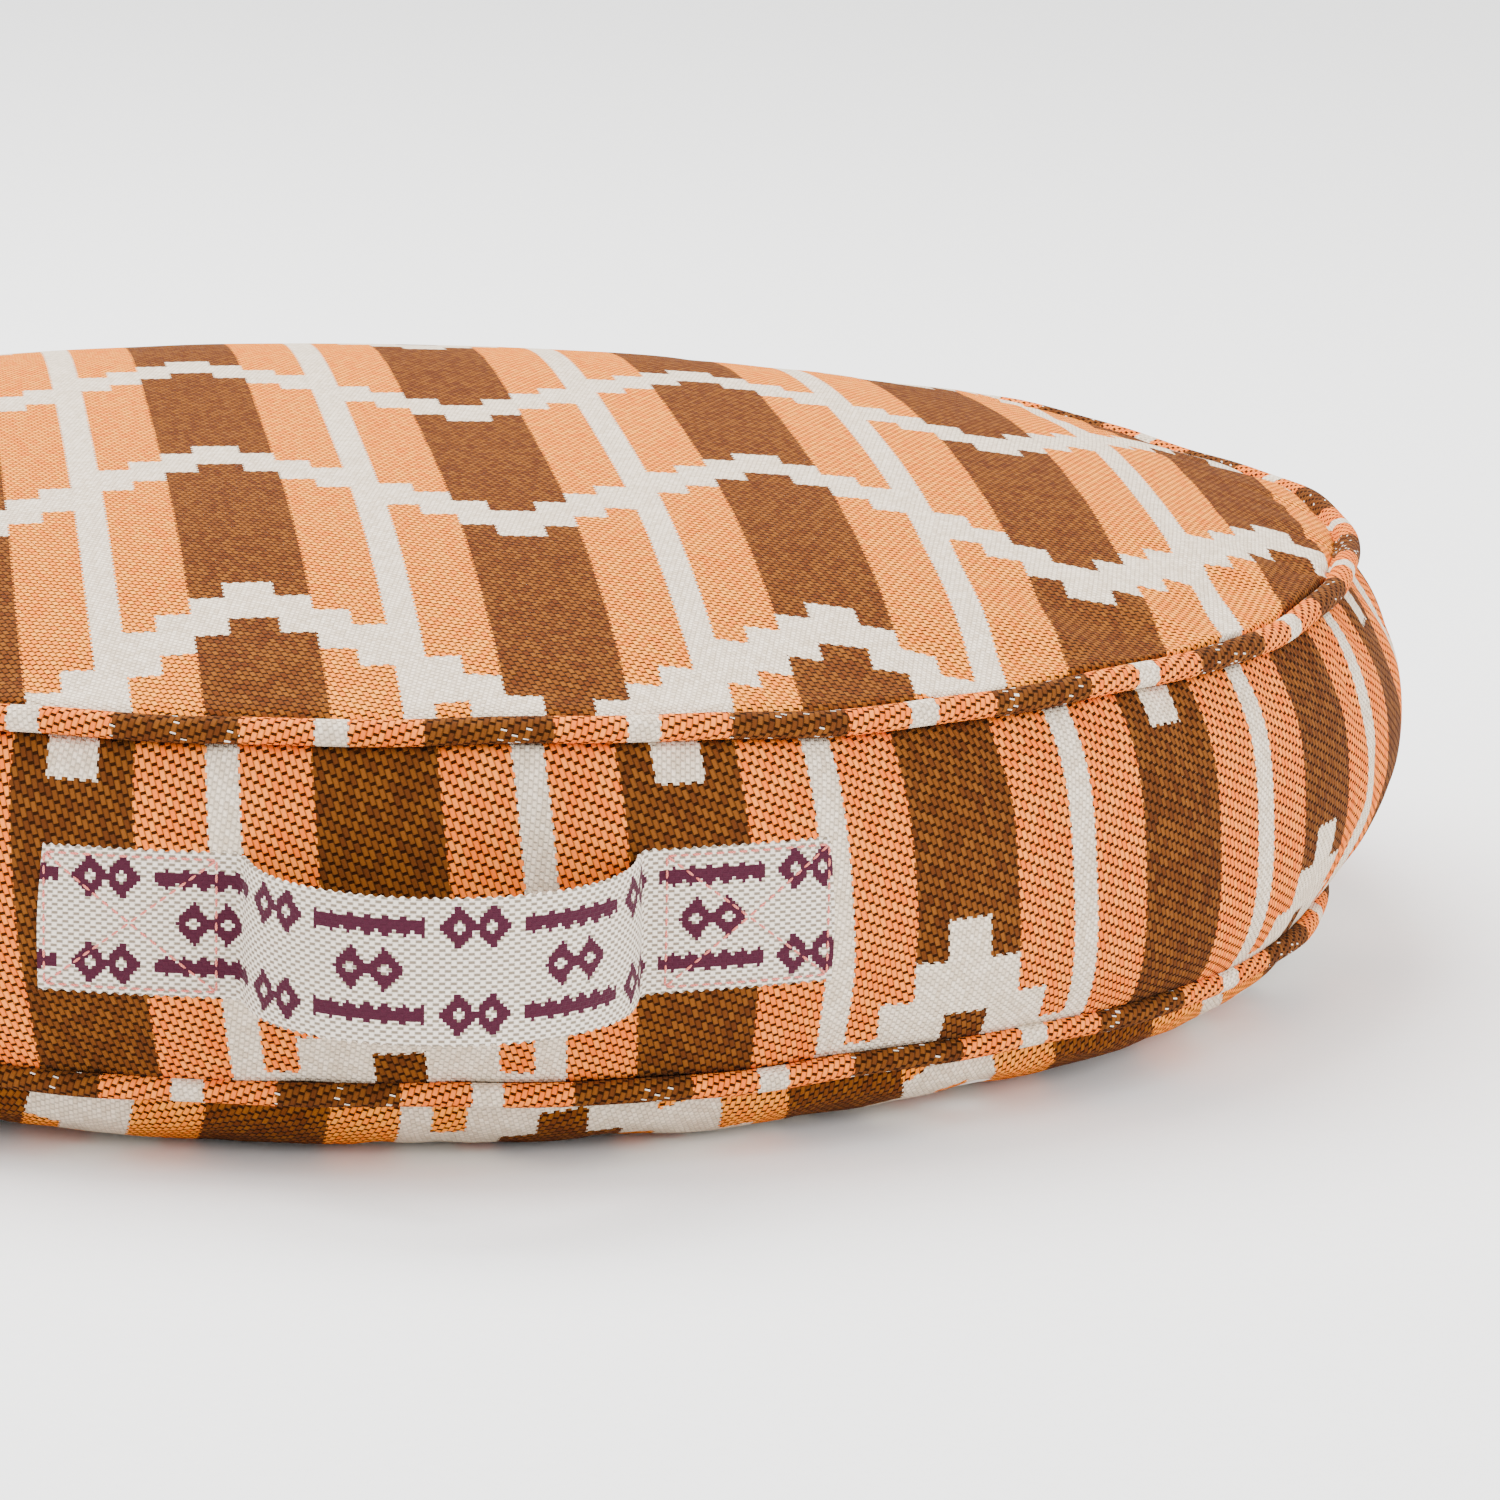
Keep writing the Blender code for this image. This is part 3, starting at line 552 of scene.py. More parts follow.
pink_thread = textile("polyester_thread_pink", "B8463A", "E88A7C", 0.7, twist=True)
brown_thread = textile("polyester_thread_brown", "54290F", "7C4622", 0.7, twist=True)
zip_tape_weave = textile("polyester_zip_tape_woven", "5C3A24", "7E5638", 0.8)
liner_cotton = textile("cotton_calico_liner", "D9D4C8", "F2EFE8", 0.9)
filling_fibre = textile("polyester_hollow_fibre", "DCDCDA", "F8F8F6", 3.0, 0.9, fluff=0.9)
piping_cord = textile("cotton_piping_cord_twisted", "CFC8BA", "EFEADF", 2.4, 0.8, twist=True)

# %% [markdown]
# ### Nylon and brass
#
# The zip's coil is a nylon monofilament: smooth, with a soft gloss and small differences between
# turns. The slider is die-cast and plated antique brass: warm metal, brighter where it rubs.

# %% Hard finishes
def nylon(name, dark, light):
    material, tree, shader = new_finish(name)
    where = add(tree, "ShaderNodeTexCoord").outputs["Object"]
    mottle = add(tree, NOISE, where, None, 900.0, 2.0, noise_dimensions="3D")
    colour = add(tree, MIX, mottle, linear(dark), linear(light), data_type="RGBA")
    rough = add(tree, RAMP, mottle, 0.3, 0.7, 0.28, 0.42)
    dress(shader, {"Base Color": colour, "Roughness": rough, "IOR": 1.53})
    return material


def antique_brass(name):
    material, tree, shader = new_finish(name)
    where = add(tree, "ShaderNodeTexCoord").outputs["Object"]
    cloudy = add(tree, NOISE, where, None, 420.0, 4.0, noise_dimensions="3D")
    grit = add(tree, NOISE, where, None, 3500.0, 2.0, noise_dimensions="3D")
    worn = add(tree, "ShaderNodeNewGeometry").outputs["Pointiness"]
    edge = add(tree, RAMP, worn, 0.50, 0.60, 0.0, 1.0)
    base = add(tree, MIX, cloudy, linear("553C1E"), linear("7C5E34"), data_type="RGBA")
    colour = add(tree, MIX, edge, base, linear("B8965C"), data_type="RGBA")
    rough = add(tree, RAMP, cloudy, 0.3, 0.7, 0.26, 0.48)
    bump = add(tree, "ShaderNodeBump", 0.25, 0.00005, 1.0, grit)
    dress(shader, {"Base Color": colour, "Roughness": rough, "Normal": bump, "Metallic": 1.0})
    return material


coil_nylon = nylon("nylon_coil_extruded", "4A2C18", "6E4528")
cast_brass = antique_brass("zinc_die_cast_antique_brass_plated")

# %% [markdown]
# ## Settling the cloth
#
# Sewn cloth over a stuffed pad is tight in the middle and puckers a little near a seam. Blender's
# cloth does that: air pressure stands in for the filling, the seam's points are held, and the
# cloth is a little larger than its place. A cap on each point's movement keeps the cushion's
# size. Gravity is off, since the filling carries the weight.

# %% Cloth simulation with its result applied
PRESSURE = 4.0
FRAMES = 20


def settle(piece, held, cap, spare):
    """held is each point's hold, from 0 to 1. spare is how much larger the cloth is, as a share."""
    start = points_of(piece)
    group = piece.vertex_groups.new(name="held")
    steps = np.round(np.asarray(held) * 20).astype(int)
    for step in np.unique(steps):
        group.add([int(i) for i in np.flatnonzero(steps == step)], step / 20, "REPLACE")
    cloth = piece.modifiers.new("settling", "CLOTH")
    rules = cloth.settings
    rules.quality = 5
    rules.mass = 0.25
    rules.tension_stiffness = rules.compression_stiffness = 20
    rules.shear_stiffness = 8
    rules.bending_stiffness = 0.6
    rules.use_pressure = True
    rules.uniform_pressure_force = PRESSURE
    rules.vertex_group_mass = "held"
    rules.pin_stiffness = 1.0
    rules.shrink_min = -spare
    rules.effector_weights.gravity = 0
    cloth.collision_settings.use_collision = False
    scene = bpy.context.scene
    for number in range(1, FRAMES + 1):
        scene.frame_set(number)
    pick(piece)
    bpy.ops.object.modifier_apply(modifier=cloth.name)
    scene.frame_set(1)
    piece.vertex_groups.clear()
    moved = points_of(piece) - start
    far = np.linalg.norm(moved, axis=1)
    share = np.where(far > 0, np.tanh(far / cap) * cap / np.maximum(far, 1e-9), 0)
    move_points(piece, start + moved * share[:, None])
    print(f"{piece.name} settled by up to {far.max() * 1000:.1f} mm, kept to {cap * 1000:.0f} mm")


# %% [markdown]
# ## Top and bottom panels
#
# Each panel is one disc of jacquard. A square grid is pressed into a circle, so the cloth has no
# pole, and then lifted to the crown that the filling gives it. Its UV map is the flat cloth: every
# point lies as far from the middle as it does along the curve. On the right, the zigzag is drawn a
# little towards the front, as cloth is when it is sewn down unevenly.

# %% The panels' shapes
TOP_LEAVES = 0.0038          # the top panel leaves its fold this far above the seam
RIM, RIM_OUT = 0.004, 0.0004  # the last ring of a panel's grid, and how far it goes outwards
TUCK = 0.0035                # how far that ring turns in
SWELL_ROOM = 0.0034          # what the simulation adds to the crown
BRAID_TURN = radians(-0.32)  # how the cloth's columns lie against the cushion's Y axis
TOP_STRIPE = -0.08407        # a cream stripe's place on the flat top panel
TOP_PEAK = -0.19754          # the place of a zigzag's upper point


def top_height(radius):
    share = np.clip(radius / FOLD_RADIUS, 0, 1)
    crown = TOP - UPPER_SEAM - TOP_LEAVES - SWELL_ROOM
    return UPPER_SEAM + TOP_LEAVES + crown * (1 - share ** 3.6) ** 1.5


def bottom_height(radius):
    share = np.clip((radius - REST_RADIUS - 0.006) / (FOLD_RADIUS - REST_RADIUS - 0.006), 0, 1)
    return (LOWER_SEAM - TOP_LEAVES) * (1 - (1 - share ** 2.2) ** 0.56)


def along_curve(height, radius):
    """Length along the panel from its middle, for each radius."""
    fine = np.linspace(0, FOLD_RADIUS, 3000)
    rise = np.gradient(height(fine), fine)
    steps = np.hypot(1, (rise[1:] + rise[:-1]) / 2) * np.diff(fine)
    return np.interp(radius, fine, np.concatenate([[0], np.cumsum(steps)]))


def disc_place(height, tuck):
    """A grid's points on a disc; the last ring turns in beside the piping."""
    def place(u, v):
        a, b = 2 * u - 1, 2 * v - 1
        x, y = a * np.sqrt(1 - b * b / 2), b * np.sqrt(1 - a * a / 2)
        share = np.hypot(x, y)
        radius = np.minimum(share, 1.0) * (FOLD_RADIUS + RIM)
        curve = np.minimum(radius, FOLD_RADIUS)
        over = np.maximum(radius - FOLD_RADIUS, 0) / RIM
        turn = np.where(share > 0, 1 / np.maximum(share, 1e-9), 0)
        wide = turn * (curve + RIM_OUT * over)
        points = np.stack([x * wide, y * wide, height(curve) + tuck * over], axis=1)
        far = along_curve(height, curve) + abs(tuck) * over
        flat_x, flat_y = x * turn * far, y * turn * far
        c, s = cos(BRAID_TURN), sin(BRAID_TURN)
        right = flat_x - SKEW_FROM
        drawn = SKEW * (right + np.hypot(right, SKEW_EASE)) / 2
        cloth = np.stack([c * flat_x - s * flat_y - TOP_STRIPE,
                          s * flat_x + c * flat_y + drawn - TOP_PEAK], axis=1)
        return lived_in(points), cloth
    return place


def rim_hold(piece, inner):
    """Full hold at the seam, and a light one inside, so that the crown keeps its shape."""
    x, y, _ = points_of(piece).T
    radius = np.hypot(x, y)
    near = np.clip((radius - 0.245) / 0.045, 0, 1)
    return np.where(radius > FOLD_RADIUS - 0.0025, 1.0, inner + 0.30 * near ** 2)


# %% Top panel
top_panel = sheet_grid("top_panel_cloth", 100, 100, disc_place(top_height, -TUCK))
settle(top_panel, rim_hold(top_panel, 0.05), cap=0.0035, spare=0.012)
subdivide_once(top_panel)
thicken(top_panel)
finish_piece(top_panel, woven_jacquard, ["top_panel"])

# %% Bottom panel
bottom_panel = sheet_grid("bottom_panel_cloth", 100, 100, disc_place(bottom_height, TUCK))
edit_all(bottom_panel, flip_normals={})
x, y, _ = points_of(bottom_panel).T
resting = np.where(np.hypot(x, y) < REST_RADIUS + 0.004, 1.0, rim_hold(bottom_panel, 0.05))
settle(bottom_panel, resting, cap=0.002, spare=0.012)
points = points_of(bottom_panel)
points[:, 2] = np.maximum(points[:, 2], 0.0)
move_points(bottom_panel, points)
subdivide_once(bottom_panel)
thicken(bottom_panel)
finish_piece(bottom_panel, woven_jacquard, ["bottom_panel"])

# %% [markdown]
# ## Border and zip panel
#
# The border is one strip round the front and the sides. At the rear it is two strips with the zip
# between them. All follow one swelling curve from seam to seam. On the flat cloth the border's
# columns are 14.96 degrees apart and lean by 5 degrees.

# %% The border's shape
STRIPE_TURN = radians(14.96)
STRIPE_START = radians(-10.80)
STRIPE_LEAN = tan(radians(5.0))
BORDER_LEVEL = 10.4          # zigzag level 35 mm above the border's middle
BORDER_STEP = 0.0116


def border_radius(height):
    """height is counted from the border's middle."""
    share = np.clip(np.abs(height) / BORDER_HALF, 0, 1)
    tucked = np.clip((share - 0.93) / 0.07, 0, 1)
    return SEAM_RADIUS + BULGE * (1 - share ** 3) - 0.0009 * tucked ** 2


def border_cloth(angle, height):
    """Where a point of the border lies on the flat cloth; angle is 0 at the handle."""
    columns = (angle - STRIPE_START) / STRIPE_TURN * COLUMN / 1000
    lean = STRIPE_LEAN * (BORDER_HALF - height)
    level = BORDER_LEVEL + (0.035 - height) / BORDER_STEP
    return np.stack([columns - lean, -level * STEP / 1000], axis=1)


def border_place(first, last, low, high):
    """Angles are counted from the handle towards +X; heights from the border's middle."""
    def place(u, v):
        angle = first + (last - first) * u
        height = low + (high - low) * v
        points = around(border_radius(height), angle, BORDER_MID + height)
        return lived_in(points), border_cloth(angle, height)
    return place


# %% Border
REAR = pi - ZIP_HALF         # where the border ends and the zip strips start
LOW_EDGE, HIGH_EDGE = -BORDER_HALF - 0.0007, BORDER_HALF + 0.0003
SEWN = BORDER_HALF - 0.002   # cloth past this height is held in the seam
border = sheet_grid("border_cloth", 260, 20, border_place(-REAR, REAR, LOW_EDGE, HIGH_EDGE))
height = np.abs(points_of(border)[:, 2] - BORDER_MID)
settle(border, np.where(height > SEWN, 1.0, 0.05), cap=0.0022, spare=0.012)
subdivide_once(border)
thicken(border)
# the border's cloth is the copy with painted shade in its deeper yarn colours
finish_piece(border, border_jacquard_shaded, ["border_front"])

# %% Zip strips with their folded edges
ZIP_OPENING = 0.011
HEM = 0.009                  # the folded edge, which is sewn to the zip's tape
for place, low, high in (("upper", ZIP_OPENING / 2, HIGH_EDGE),
                         ("lower", LOW_EDGE, -ZIP_OPENING / 2)):
    strip = sheet_grid(f"zip_strip_{place}_cloth", 180, 12,
                       border_place(REAR, 2 * pi - REAR, low, high))
    height = np.abs(points_of(strip)[:, 2] - BORDER_MID)
    sewn = (height > SEWN) | (height < ZIP_OPENING / 2 + HEM)
    settle(strip, np.where(sewn, 1.0, 0.05), cap=0.0015, spare=0.008)
    subdivide_once(strip)
    thicken(strip, 0.0014)
    # the strips' cloth is the copy with painted shade in its deeper yarn colours
    finish_piece(strip, border_jacquard_shaded, [f"zip_strip_{place}"])

# %% [markdown]
# ## Piping
#
# Piping is a strip of the same cloth folded round a cotton cord and sewn into the seam. It shows
# as a round bead, 7 mm thick. The strip was cut on another part of the cloth, so its stripes don't
# meet the border's. A ring of points round each seam is the whole shape; the sewn legs behind it
# point inwards.

# %% Rings round the cushion
BEADS = (0.0035, 0.0032)     # pulled tight, the piping is a little thinner than its cord's room


def section_reader(section):
    """A function that reads a list of (radius, height) by a share from 0 to 1, and its length."""
    section = np.array(section, dtype=float)
    columns = (*section.T, lengths_along(section))
    numbers = np.arange(len(section))

    def read(share):
        return [np.interp(share * numbers[-1], numbers, column) for column in columns]
    return read, columns[2][-1]


def ring_place(section, start, turn, level, wave=0.0):
    """section is a closed list of (radius, height); the cloth runs round the cushion."""
    read, whole = section_reader(section)

    def place(u, v):
        angle = 2 * pi * u - pi                     # the ends meet at the rear
        radius, height, round_it = read(v)
        columns = (angle - start) / turn + wave * np.sin(3 * angle)
        rows = -level * STEP / 1000 + round_it - whole / 2
        cloth = np.stack([columns * COLUMN / 1000, rows], axis=1)
        return lived_in(around(radius, angle, height)), cloth
    return place


def piping_section(height, bead_radius):
    """The bead, from the upper leg's inner end round the outside to the lower leg's."""
    leg = 0.0009
    start = asin(leg / bead_radius)
    inner = FOLD_RADIUS - 0.0115
    turns = np.linspace(pi - start, start - pi, 23)
    bead = [(SEAM_RADIUS + bead_radius * cos(t), height + bead_radius * sin(t)) for t in turns]
    return [(inner, height + leg), *bead, (inner, height - leg), (inner, height + leg)]


CORD_RADIUS = 0.0022
for place, height, bead, start, turn, wave in (
        ("top", UPPER_SEAM, BEADS[0], radians(-5.4), radians(15.3), 0.0),
        ("bottom", LOWER_SEAM, BEADS[1], radians(2.6), radians(15.9), 0.10)):
    cover = sheet_grid(f"piping_{place}_cloth", 360, 25,
                       ring_place(piping_section(height, bead), start, turn, 11.5, wave))
    close_up(cover)
    # the piping's cloth has painted shade in its deeper yarn colours, and painted glints
    finish_piece(cover, bias_jacquard_shaded_glints, [f"piping_cover_{place}"])
    cord_section = [(SEAM_RADIUS + CORD_RADIUS * cos(t), height + CORD_RADIUS * sin(t))
                    for t in np.linspace(0, 2 * pi, 17)]
    cord = sheet_grid(f"piping_{place}_cord", 360, 16,
                      ring_place(cord_section, 0.0, radians(15), 0.0))
    close_up(cord)
    finish_piece(cord, piping_cord, [f"piping_cord_{place}"])

# %% [markdown]
# ## Webbing handle
#
# One length of webbing is sewn down at both ends and bows out between them, so a hand can pass
# behind it. Its middle line is drawn in plan: along the border, round a tight turn at the
# stitching, out on half an ellipse, and back. The corners are then cut until the line is smooth,
# and a thin closed section is carried along it. The woven edges have a bump at each weft turn.

# %% The handle's middle line
WEBBING_WIDTH, WEBBING_DEPTH = 0.038, 0.0017
FOOT, BOW, ANCHOR = 0.050, 0.038, 0.052      # half the free span, its reach outwards, a sewn end
DROOP = 0.0034               # how far the loop's middle hangs
ANCHOR_RADIUS = SEAM_RADIUS + BULGE + 0.0016
FOOT_ANGLE = asin(FOOT / (SEAM_RADIUS + BULGE))
LOOP_BACK = (SEAM_RADIUS + BULGE) * cos(FOOT_ANGLE)


def half_line():
    """Plan points of the right half, from the loop's middle to the sewn end."""
    turns = np.linspace(pi / 2, radians(9), 26)
    loop = np.stack([FOOT * np.cos(turns), -LOOP_BACK - BOW * np.sin(turns)], axis=1)
    angles = FOOT_ANGLE + np.linspace(0.0055, ANCHOR + 0.0015, 24) / ANCHOR_RADIUS
    sewn = np.stack([ANCHOR_RADIUS * np.sin(angles), -ANCHOR_RADIUS * np.cos(angles)], axis=1)
    corner = [FOOT + 0.0002, -ANCHOR_RADIUS * cos(FOOT_ANGLE) - 0.0004]
    return np.concatenate([loop, [corner], sewn])


right = half_line()
line = np.concatenate([right[::-1] * (-1, 1), right[1:]])
for _ in range(3):
    early, late = line[:-1], line[1:]
    cut = np.stack([early * 0.75 + late * 0.25, early * 0.25 + late * 0.75], axis=1).reshape(-1, 2)
    line = np.concatenate([line[:1], cut, line[-1:]])
travel = lengths_along(line)
travel -= travel[-1] / 2
HANDLE_HALF = travel[-1]
print(f"webbing length {2000 * HANDLE_HALF:.1f} mm")


def on_line(along):
    """X and Y of the middle line."""
    return np.array([np.interp(along, travel, column) for column in line.T])


def strap_point(along, across, lift):
    """A point of the webbing, in metres along it from its middle, across it, and outwards."""
    reach = np.clip(along, -HANDLE_HALF, HANDLE_HALF)
    x, y = on_line(reach)
    ahead = on_line(reach + 0.0008) - on_line(reach - 0.0008)
    tx, ty = ahead / np.hypot(*ahead)
    sewn = np.clip((np.abs(along) - (HANDLE_HALF - ANCHOR)) / 0.004, 0, 1)
    off = lift + sewn * (border_radius(across) - (SEAM_RADIUS + BULGE))
    free = np.clip(1 - np.abs(along) / (HANDLE_HALF - ANCHOR), 0, 1)
    droop = DROOP * free ** 0.7 * (2 - free ** 0.7)
    return np.stack([x + ty * off, y - tx * off, BORDER_MID + across - droop], axis=-1)


# %% Webbing
def strap_place(u, v):
    turn = 2 * pi * v
    flatness = np.abs(np.cos(turn)) ** 0.35 * np.sign(np.cos(turn))
    along = (2 * u - 1) * HANDLE_HALF
    half = WEBBING_WIDTH / 2 + 0.00034 * np.sin(2 * pi * along / 0.0027)
    across = half * np.sin(turn)
    lift = WEBBING_DEPTH / 2 * flatness
    skew = np.clip((np.abs(along) - HANDLE_HALF + 0.008) / 0.008, 0, 1)
    shifted = along + skew * across * tan(radians(4)) * -np.sign(along)
    points = strap_point(shifted, across, lift)
    return points, np.stack([along, across], axis=1)


webbing = sheet_grid("webbing_handle", 420, 40, strap_place)
close_up(webbing)
edit_all(webbing, fill_holes={"sides": 0}, normals_make_consistent={"inside": False})
handle_nodes = ["handle_anchor_left", "handle_anchor_right", "handle_loop"]
finish_piece(webbing, woven_webbing, handle_nodes, body=None, crease=50)
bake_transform(webbing)

# %% [markdown]
# ## Stitches
#
# A stitch is a short bead of thread that dips into the cloth at both ends. One bead is made from a
# sphere, and a copy is laid at every stitch of a seam.

# %% Laying stitches
def take_shape(piece):
    """Take the points and faces out of a turned shape, and remove it."""
    bpy.ops.object.transform_apply(location=False, rotation=True, scale=False)
    shape = points_of(piece), [list(face.vertices) for face in piece.data.polygons]
    bpy.data.objects.remove(piece)
    return shape


def bead_shape(length, thick):
    """Points and faces of one stitch, along X with Z outwards."""
    bpy.ops.object.select_all(action="DESELECT")
    bpy.ops.mesh.primitive_uv_sphere_add(segments=8, ring_count=6, radius=0.5,
                                         rotation=(0, pi / 2, 0))
    points, faces = take_shape(bpy.context.object)
    points *= (length, thick, thick)
    points[:, 2] -= (points[:, 0] / length) ** 2 * thick * 1.2
    return points, faces


def lay_copies(name, shape, places):
    """places is a list of 4 by 4 matrices, one for each copy; all copies are one mesh."""
    points, faces = shape
    padded = np.concatenate([points, np.ones((len(points), 1))], axis=1)
    every = np.concatenate([(padded @ np.array(place).T)[:, :3] for place in places])
    mesh = bpy.data.meshes.new(name)
    count = len(points)
    copies = [[i + n * count for i in face] for n in range(len(places)) for face in faces]
    mesh.from_pydata(every.tolist(), [], copies)
    layer = mesh.uv_layers.new(name="cloth")
    corners = np.empty(len(mesh.loops), dtype=np.int32)
    mesh.loops.foreach_get("vertex_index", corners)
    layer.data.foreach_set("uv", points[corners % count][:, :2].ravel())
    piece = bpy.data.objects.new(name, mesh)
    bpy.context.collection.objects.link(piece)
    return piece


def stand(spot, ahead, side, out):
    """A matrix that puts a shape at a spot, with its X, Y and Z along three directions."""
    return Matrix.Translation(spot) @ Matrix((ahead, side, out)).transposed().to_4x4()


def along_seam(corners, pitch, surface):
    """One matrix per stitch along flat corners; surface gives the point for each flat place."""
    places = []
    for start, end in zip(corners[:-1], corners[1:]):
        start, end = np.array(start, dtype=float), np.array(end, dtype=float)
        count = max(1, round(np.linalg.norm(end - start) / pitch))
        for number in range(count):
            middle = start + (end - start) * (number + 0.5) / count
            step = (end - start) / np.linalg.norm(end - start) * pitch * 0.3
            here, front, back = (Vector(surface(*(middle + way * step))) for way in (0, 1, -1))
            ahead = (front - back).normalized()
            side = Vector(surface(*(middle + (-step[1], step[0])))) - here
            out = ahead.cross(side).normalized()
            places.append(stand(here, ahead, out.cross(ahead), out))
    return places


# %% Box and cross on each sewn end
INSET = 0.0018               # from the webbing's edge
STITCH_PITCH = 0.0031
stitch = bead_shape(0.0024, 0.00068)


def on_webbing(along, across):
    return strap_point(np.array(along), np.array(across), WEBBING_DEPTH / 2 + 0.00008)


for place, side in (("left", -1), ("right", 1)):
    near = side * (HANDLE_HALF - ANCHOR + 0.0055)
    far = side * (HANDLE_HALF - INSET)
    high = WEBBING_WIDTH / 2 - INSET
    box = [(near, high), (far, high), (far, -high), (near, -high), (near, high)]
    rows = []
    for corners in (box, [(near, high), (far, -high)], [(near, -high), (far, high)]):
        rows += along_seam(corners, STITCH_PITCH, on_webbing)
    sewn = lay_copies(f"box_stitches_{place}", stitch, rows)
    finish_piece(sewn, pink_thread, [f"box_stitch_{place}"])

# %% [markdown]
# ## Zip
#
# Two woven tapes carry the halves of a nylon coil. The coil is one long spring, so it is made
# from one flat ring that is copied every 1.5 mm. A row of stitches holds each strip to its tape.

# %% Tapes
TAPE_RADIUS = 0.3002
TAPE_GAP, TAPE_WIDTH = 0.0006, 0.0144        # from the zip's middle, and the tape's own width
ZIP_TURN = 2 * pi - 2 * REAR
for place, side in (("upper", 1), ("lower", -1)):
    def tape_place(u, v, side=side):
        angle = REAR + ZIP_TURN * u
        height = side * (TAPE_GAP + TAPE_WIDTH * v)
        points = around(TAPE_RADIUS, angle, BORDER_MID + height)
        return points, np.stack([angle * TAPE_RADIUS, height], axis=1)

    tape = sheet_grid(f"zip_tape_{place}_woven", 120, 4, tape_place)
    if side < 0:
        edit_all(tape, flip_normals={})
    thicken(tape, 0.0005)
    finish_piece(tape, zip_tape_weave, [f"zip_tape_{place}"])

# %% Coils
def coil_ring():
    """One turn of the coil, standing across the tape: X along the zip, Y across it, Z outwards."""
    bpy.ops.object.select_all(action="DESELECT")
    bpy.ops.mesh.primitive_torus_add(major_segments=12, minor_segments=6, major_radius=0.00085,
                                     minor_radius=0.0003, rotation=(0, pi / 2, 0))
    points, faces = take_shape(bpy.context.object)
    points *= (1.0, 1.2, 1.0)
    points[:, 0] += points[:, 2] * 0.3
    return points, faces


def round_zip(radius, height, angle):
    """Place something on the zip, at an angle from the handle."""
    out = Vector((sin(angle), -cos(angle), 0))
    ahead = Vector((cos(angle), sin(angle), 0))
    up = Vector((0, 0, 1))
    spot = out * radius + up * (BORDER_MID + height)
    return stand(spot, ahead, up, out)


COIL_PITCH = 0.0015
COIL_RADIUS, COIL_HEIGHT = 0.30175, 0.00175
turns = int(ZIP_TURN * TAPE_RADIUS / COIL_PITCH) - 2
ring = coil_ring()
for place, side in (("upper", 1), ("lower", -1)):
    shift = 0.25 if side > 0 else 0.75
    angles = [REAR + (number + 1 + shift) * COIL_PITCH / TAPE_RADIUS for number in range(turns)]
    coil = lay_copies(f"zip_coil_{place}_turns", ring,
                      [round_zip(COIL_RADIUS, side * COIL_HEIGHT, angle) for angle in angles])
    finish_piece(coil, coil_nylon, [f"zip_coil_{place}"])

# %% Stitches beside the zip
seam_stitch = bead_shape(0.0026, 0.0006)
rows = []
for side in (1, -1):
    height = side * (ZIP_OPENING / 2 + 0.0070)
    count = int(ZIP_TURN * (SEAM_RADIUS + BULGE) / 0.0033)
    step = ZIP_TURN / count
    rows += [round_zip(float(border_radius(height)) + 0.0001, height, REAR + (number + 0.5) * step)
             for number in range(count)]
zip_stitches = lay_copies("zip_stitches", seam_stitch, rows)
finish_piece(zip_stitches, brown_thread)

# %% [markdown]
# ## Slider and pull
#
# The slider is a small casting: a plate over the coil and one behind it, a web between them that
# keeps the two halves apart, and a bridge that holds the pull. It is made from cubes with their
# edges bevelled, at the place on the zip where the frame has it.

# %% Blocks with soft edges
SLIDER_TURN = radians(29)


def soft_block(name, low, high, edge, taper=None):
    """A cube between two corners with bevelled edges; X is outwards, Y along the zip, Z up."""
    low, high = Vector(low), Vector(high)
    bpy.ops.object.select_all(action="DESELECT")
    bpy.ops.mesh.primitive_cube_add(size=1, location=(low + high) / 2, scale=high - low)
    block = bpy.context.object
    block.name = name
    bpy.ops.object.transform_apply(location=True, rotation=True, scale=True)
    if taper:
        points = points_of(block)
        ends = points[:, 1] > (low.y + high.y) / 2
        points[ends, 2] *= taper
        move_points(block, points)
    round_off = block.modifiers.new("soft", "BEVEL")
    round_off.width = edge
    round_off.segments = 3
    bpy.ops.object.modifier_apply(modifier=round_off.name)
    return block


def cut_away(block, low, high):
    """Cut an opening between two corners out of a block."""
    hole = soft_block("opening", low, high, 0.0001)
    cut = block.modifiers.new("cut", "BOOLEAN")
    cut.operation = "DIFFERENCE"
    cut.solver = "EXACT"
    cut.object = hole
    pick(block)
    bpy.ops.object.modifier_apply(modifier=cut.name)
    bpy.data.objects.remove(hole)


def join_at_zip(name, blocks):
    """Join blocks into one piece and turn it to the slider's place on the zip."""
    piece = pick(*blocks)
    if len(blocks) > 1:
        bpy.ops.object.join()
    piece.name = piece.data.name = name
    turn = Matrix.Rotation(SLIDER_TURN, 4, "Z")
    piece.data.transform(Matrix.Translation((0, 0, BORDER_MID)) @ turn)
    return piece


# %% Slider
plate_in, plate_out, back_in, back_out = 0.3033, 0.3047, 0.2969, 0.2983
bridge_in, bridge_out = 0.3067, 0.3077
BITE = 0.0005                # how far one block goes into the next
blocks = [
    soft_block("plate", (plate_in, -0.0055, -0.0045), (plate_out, 0.0055, 0.0045), 0.0006, 0.72),
    soft_block("back", (back_in, -0.0049, -0.0040), (back_out, 0.0049, 0.0040), 0.0005, 0.75),
    soft_block("web", (back_out - BITE, -0.0027, -0.0003), (plate_in + BITE, 0.0027, 0.0003),
               0.0001),
]
bridge = soft_block("bridge", (plate_out - BITE, -0.0040, -0.0010), (bridge_out, 0.0040, 0.0010),
                    0.00045)
cut_away(bridge, (plate_out - 0.0002, -0.0030, -0.0020), (bridge_in, 0.0030, 0.0020))
slider = join_at_zip("zip_slider_cast", [*blocks, bridge])
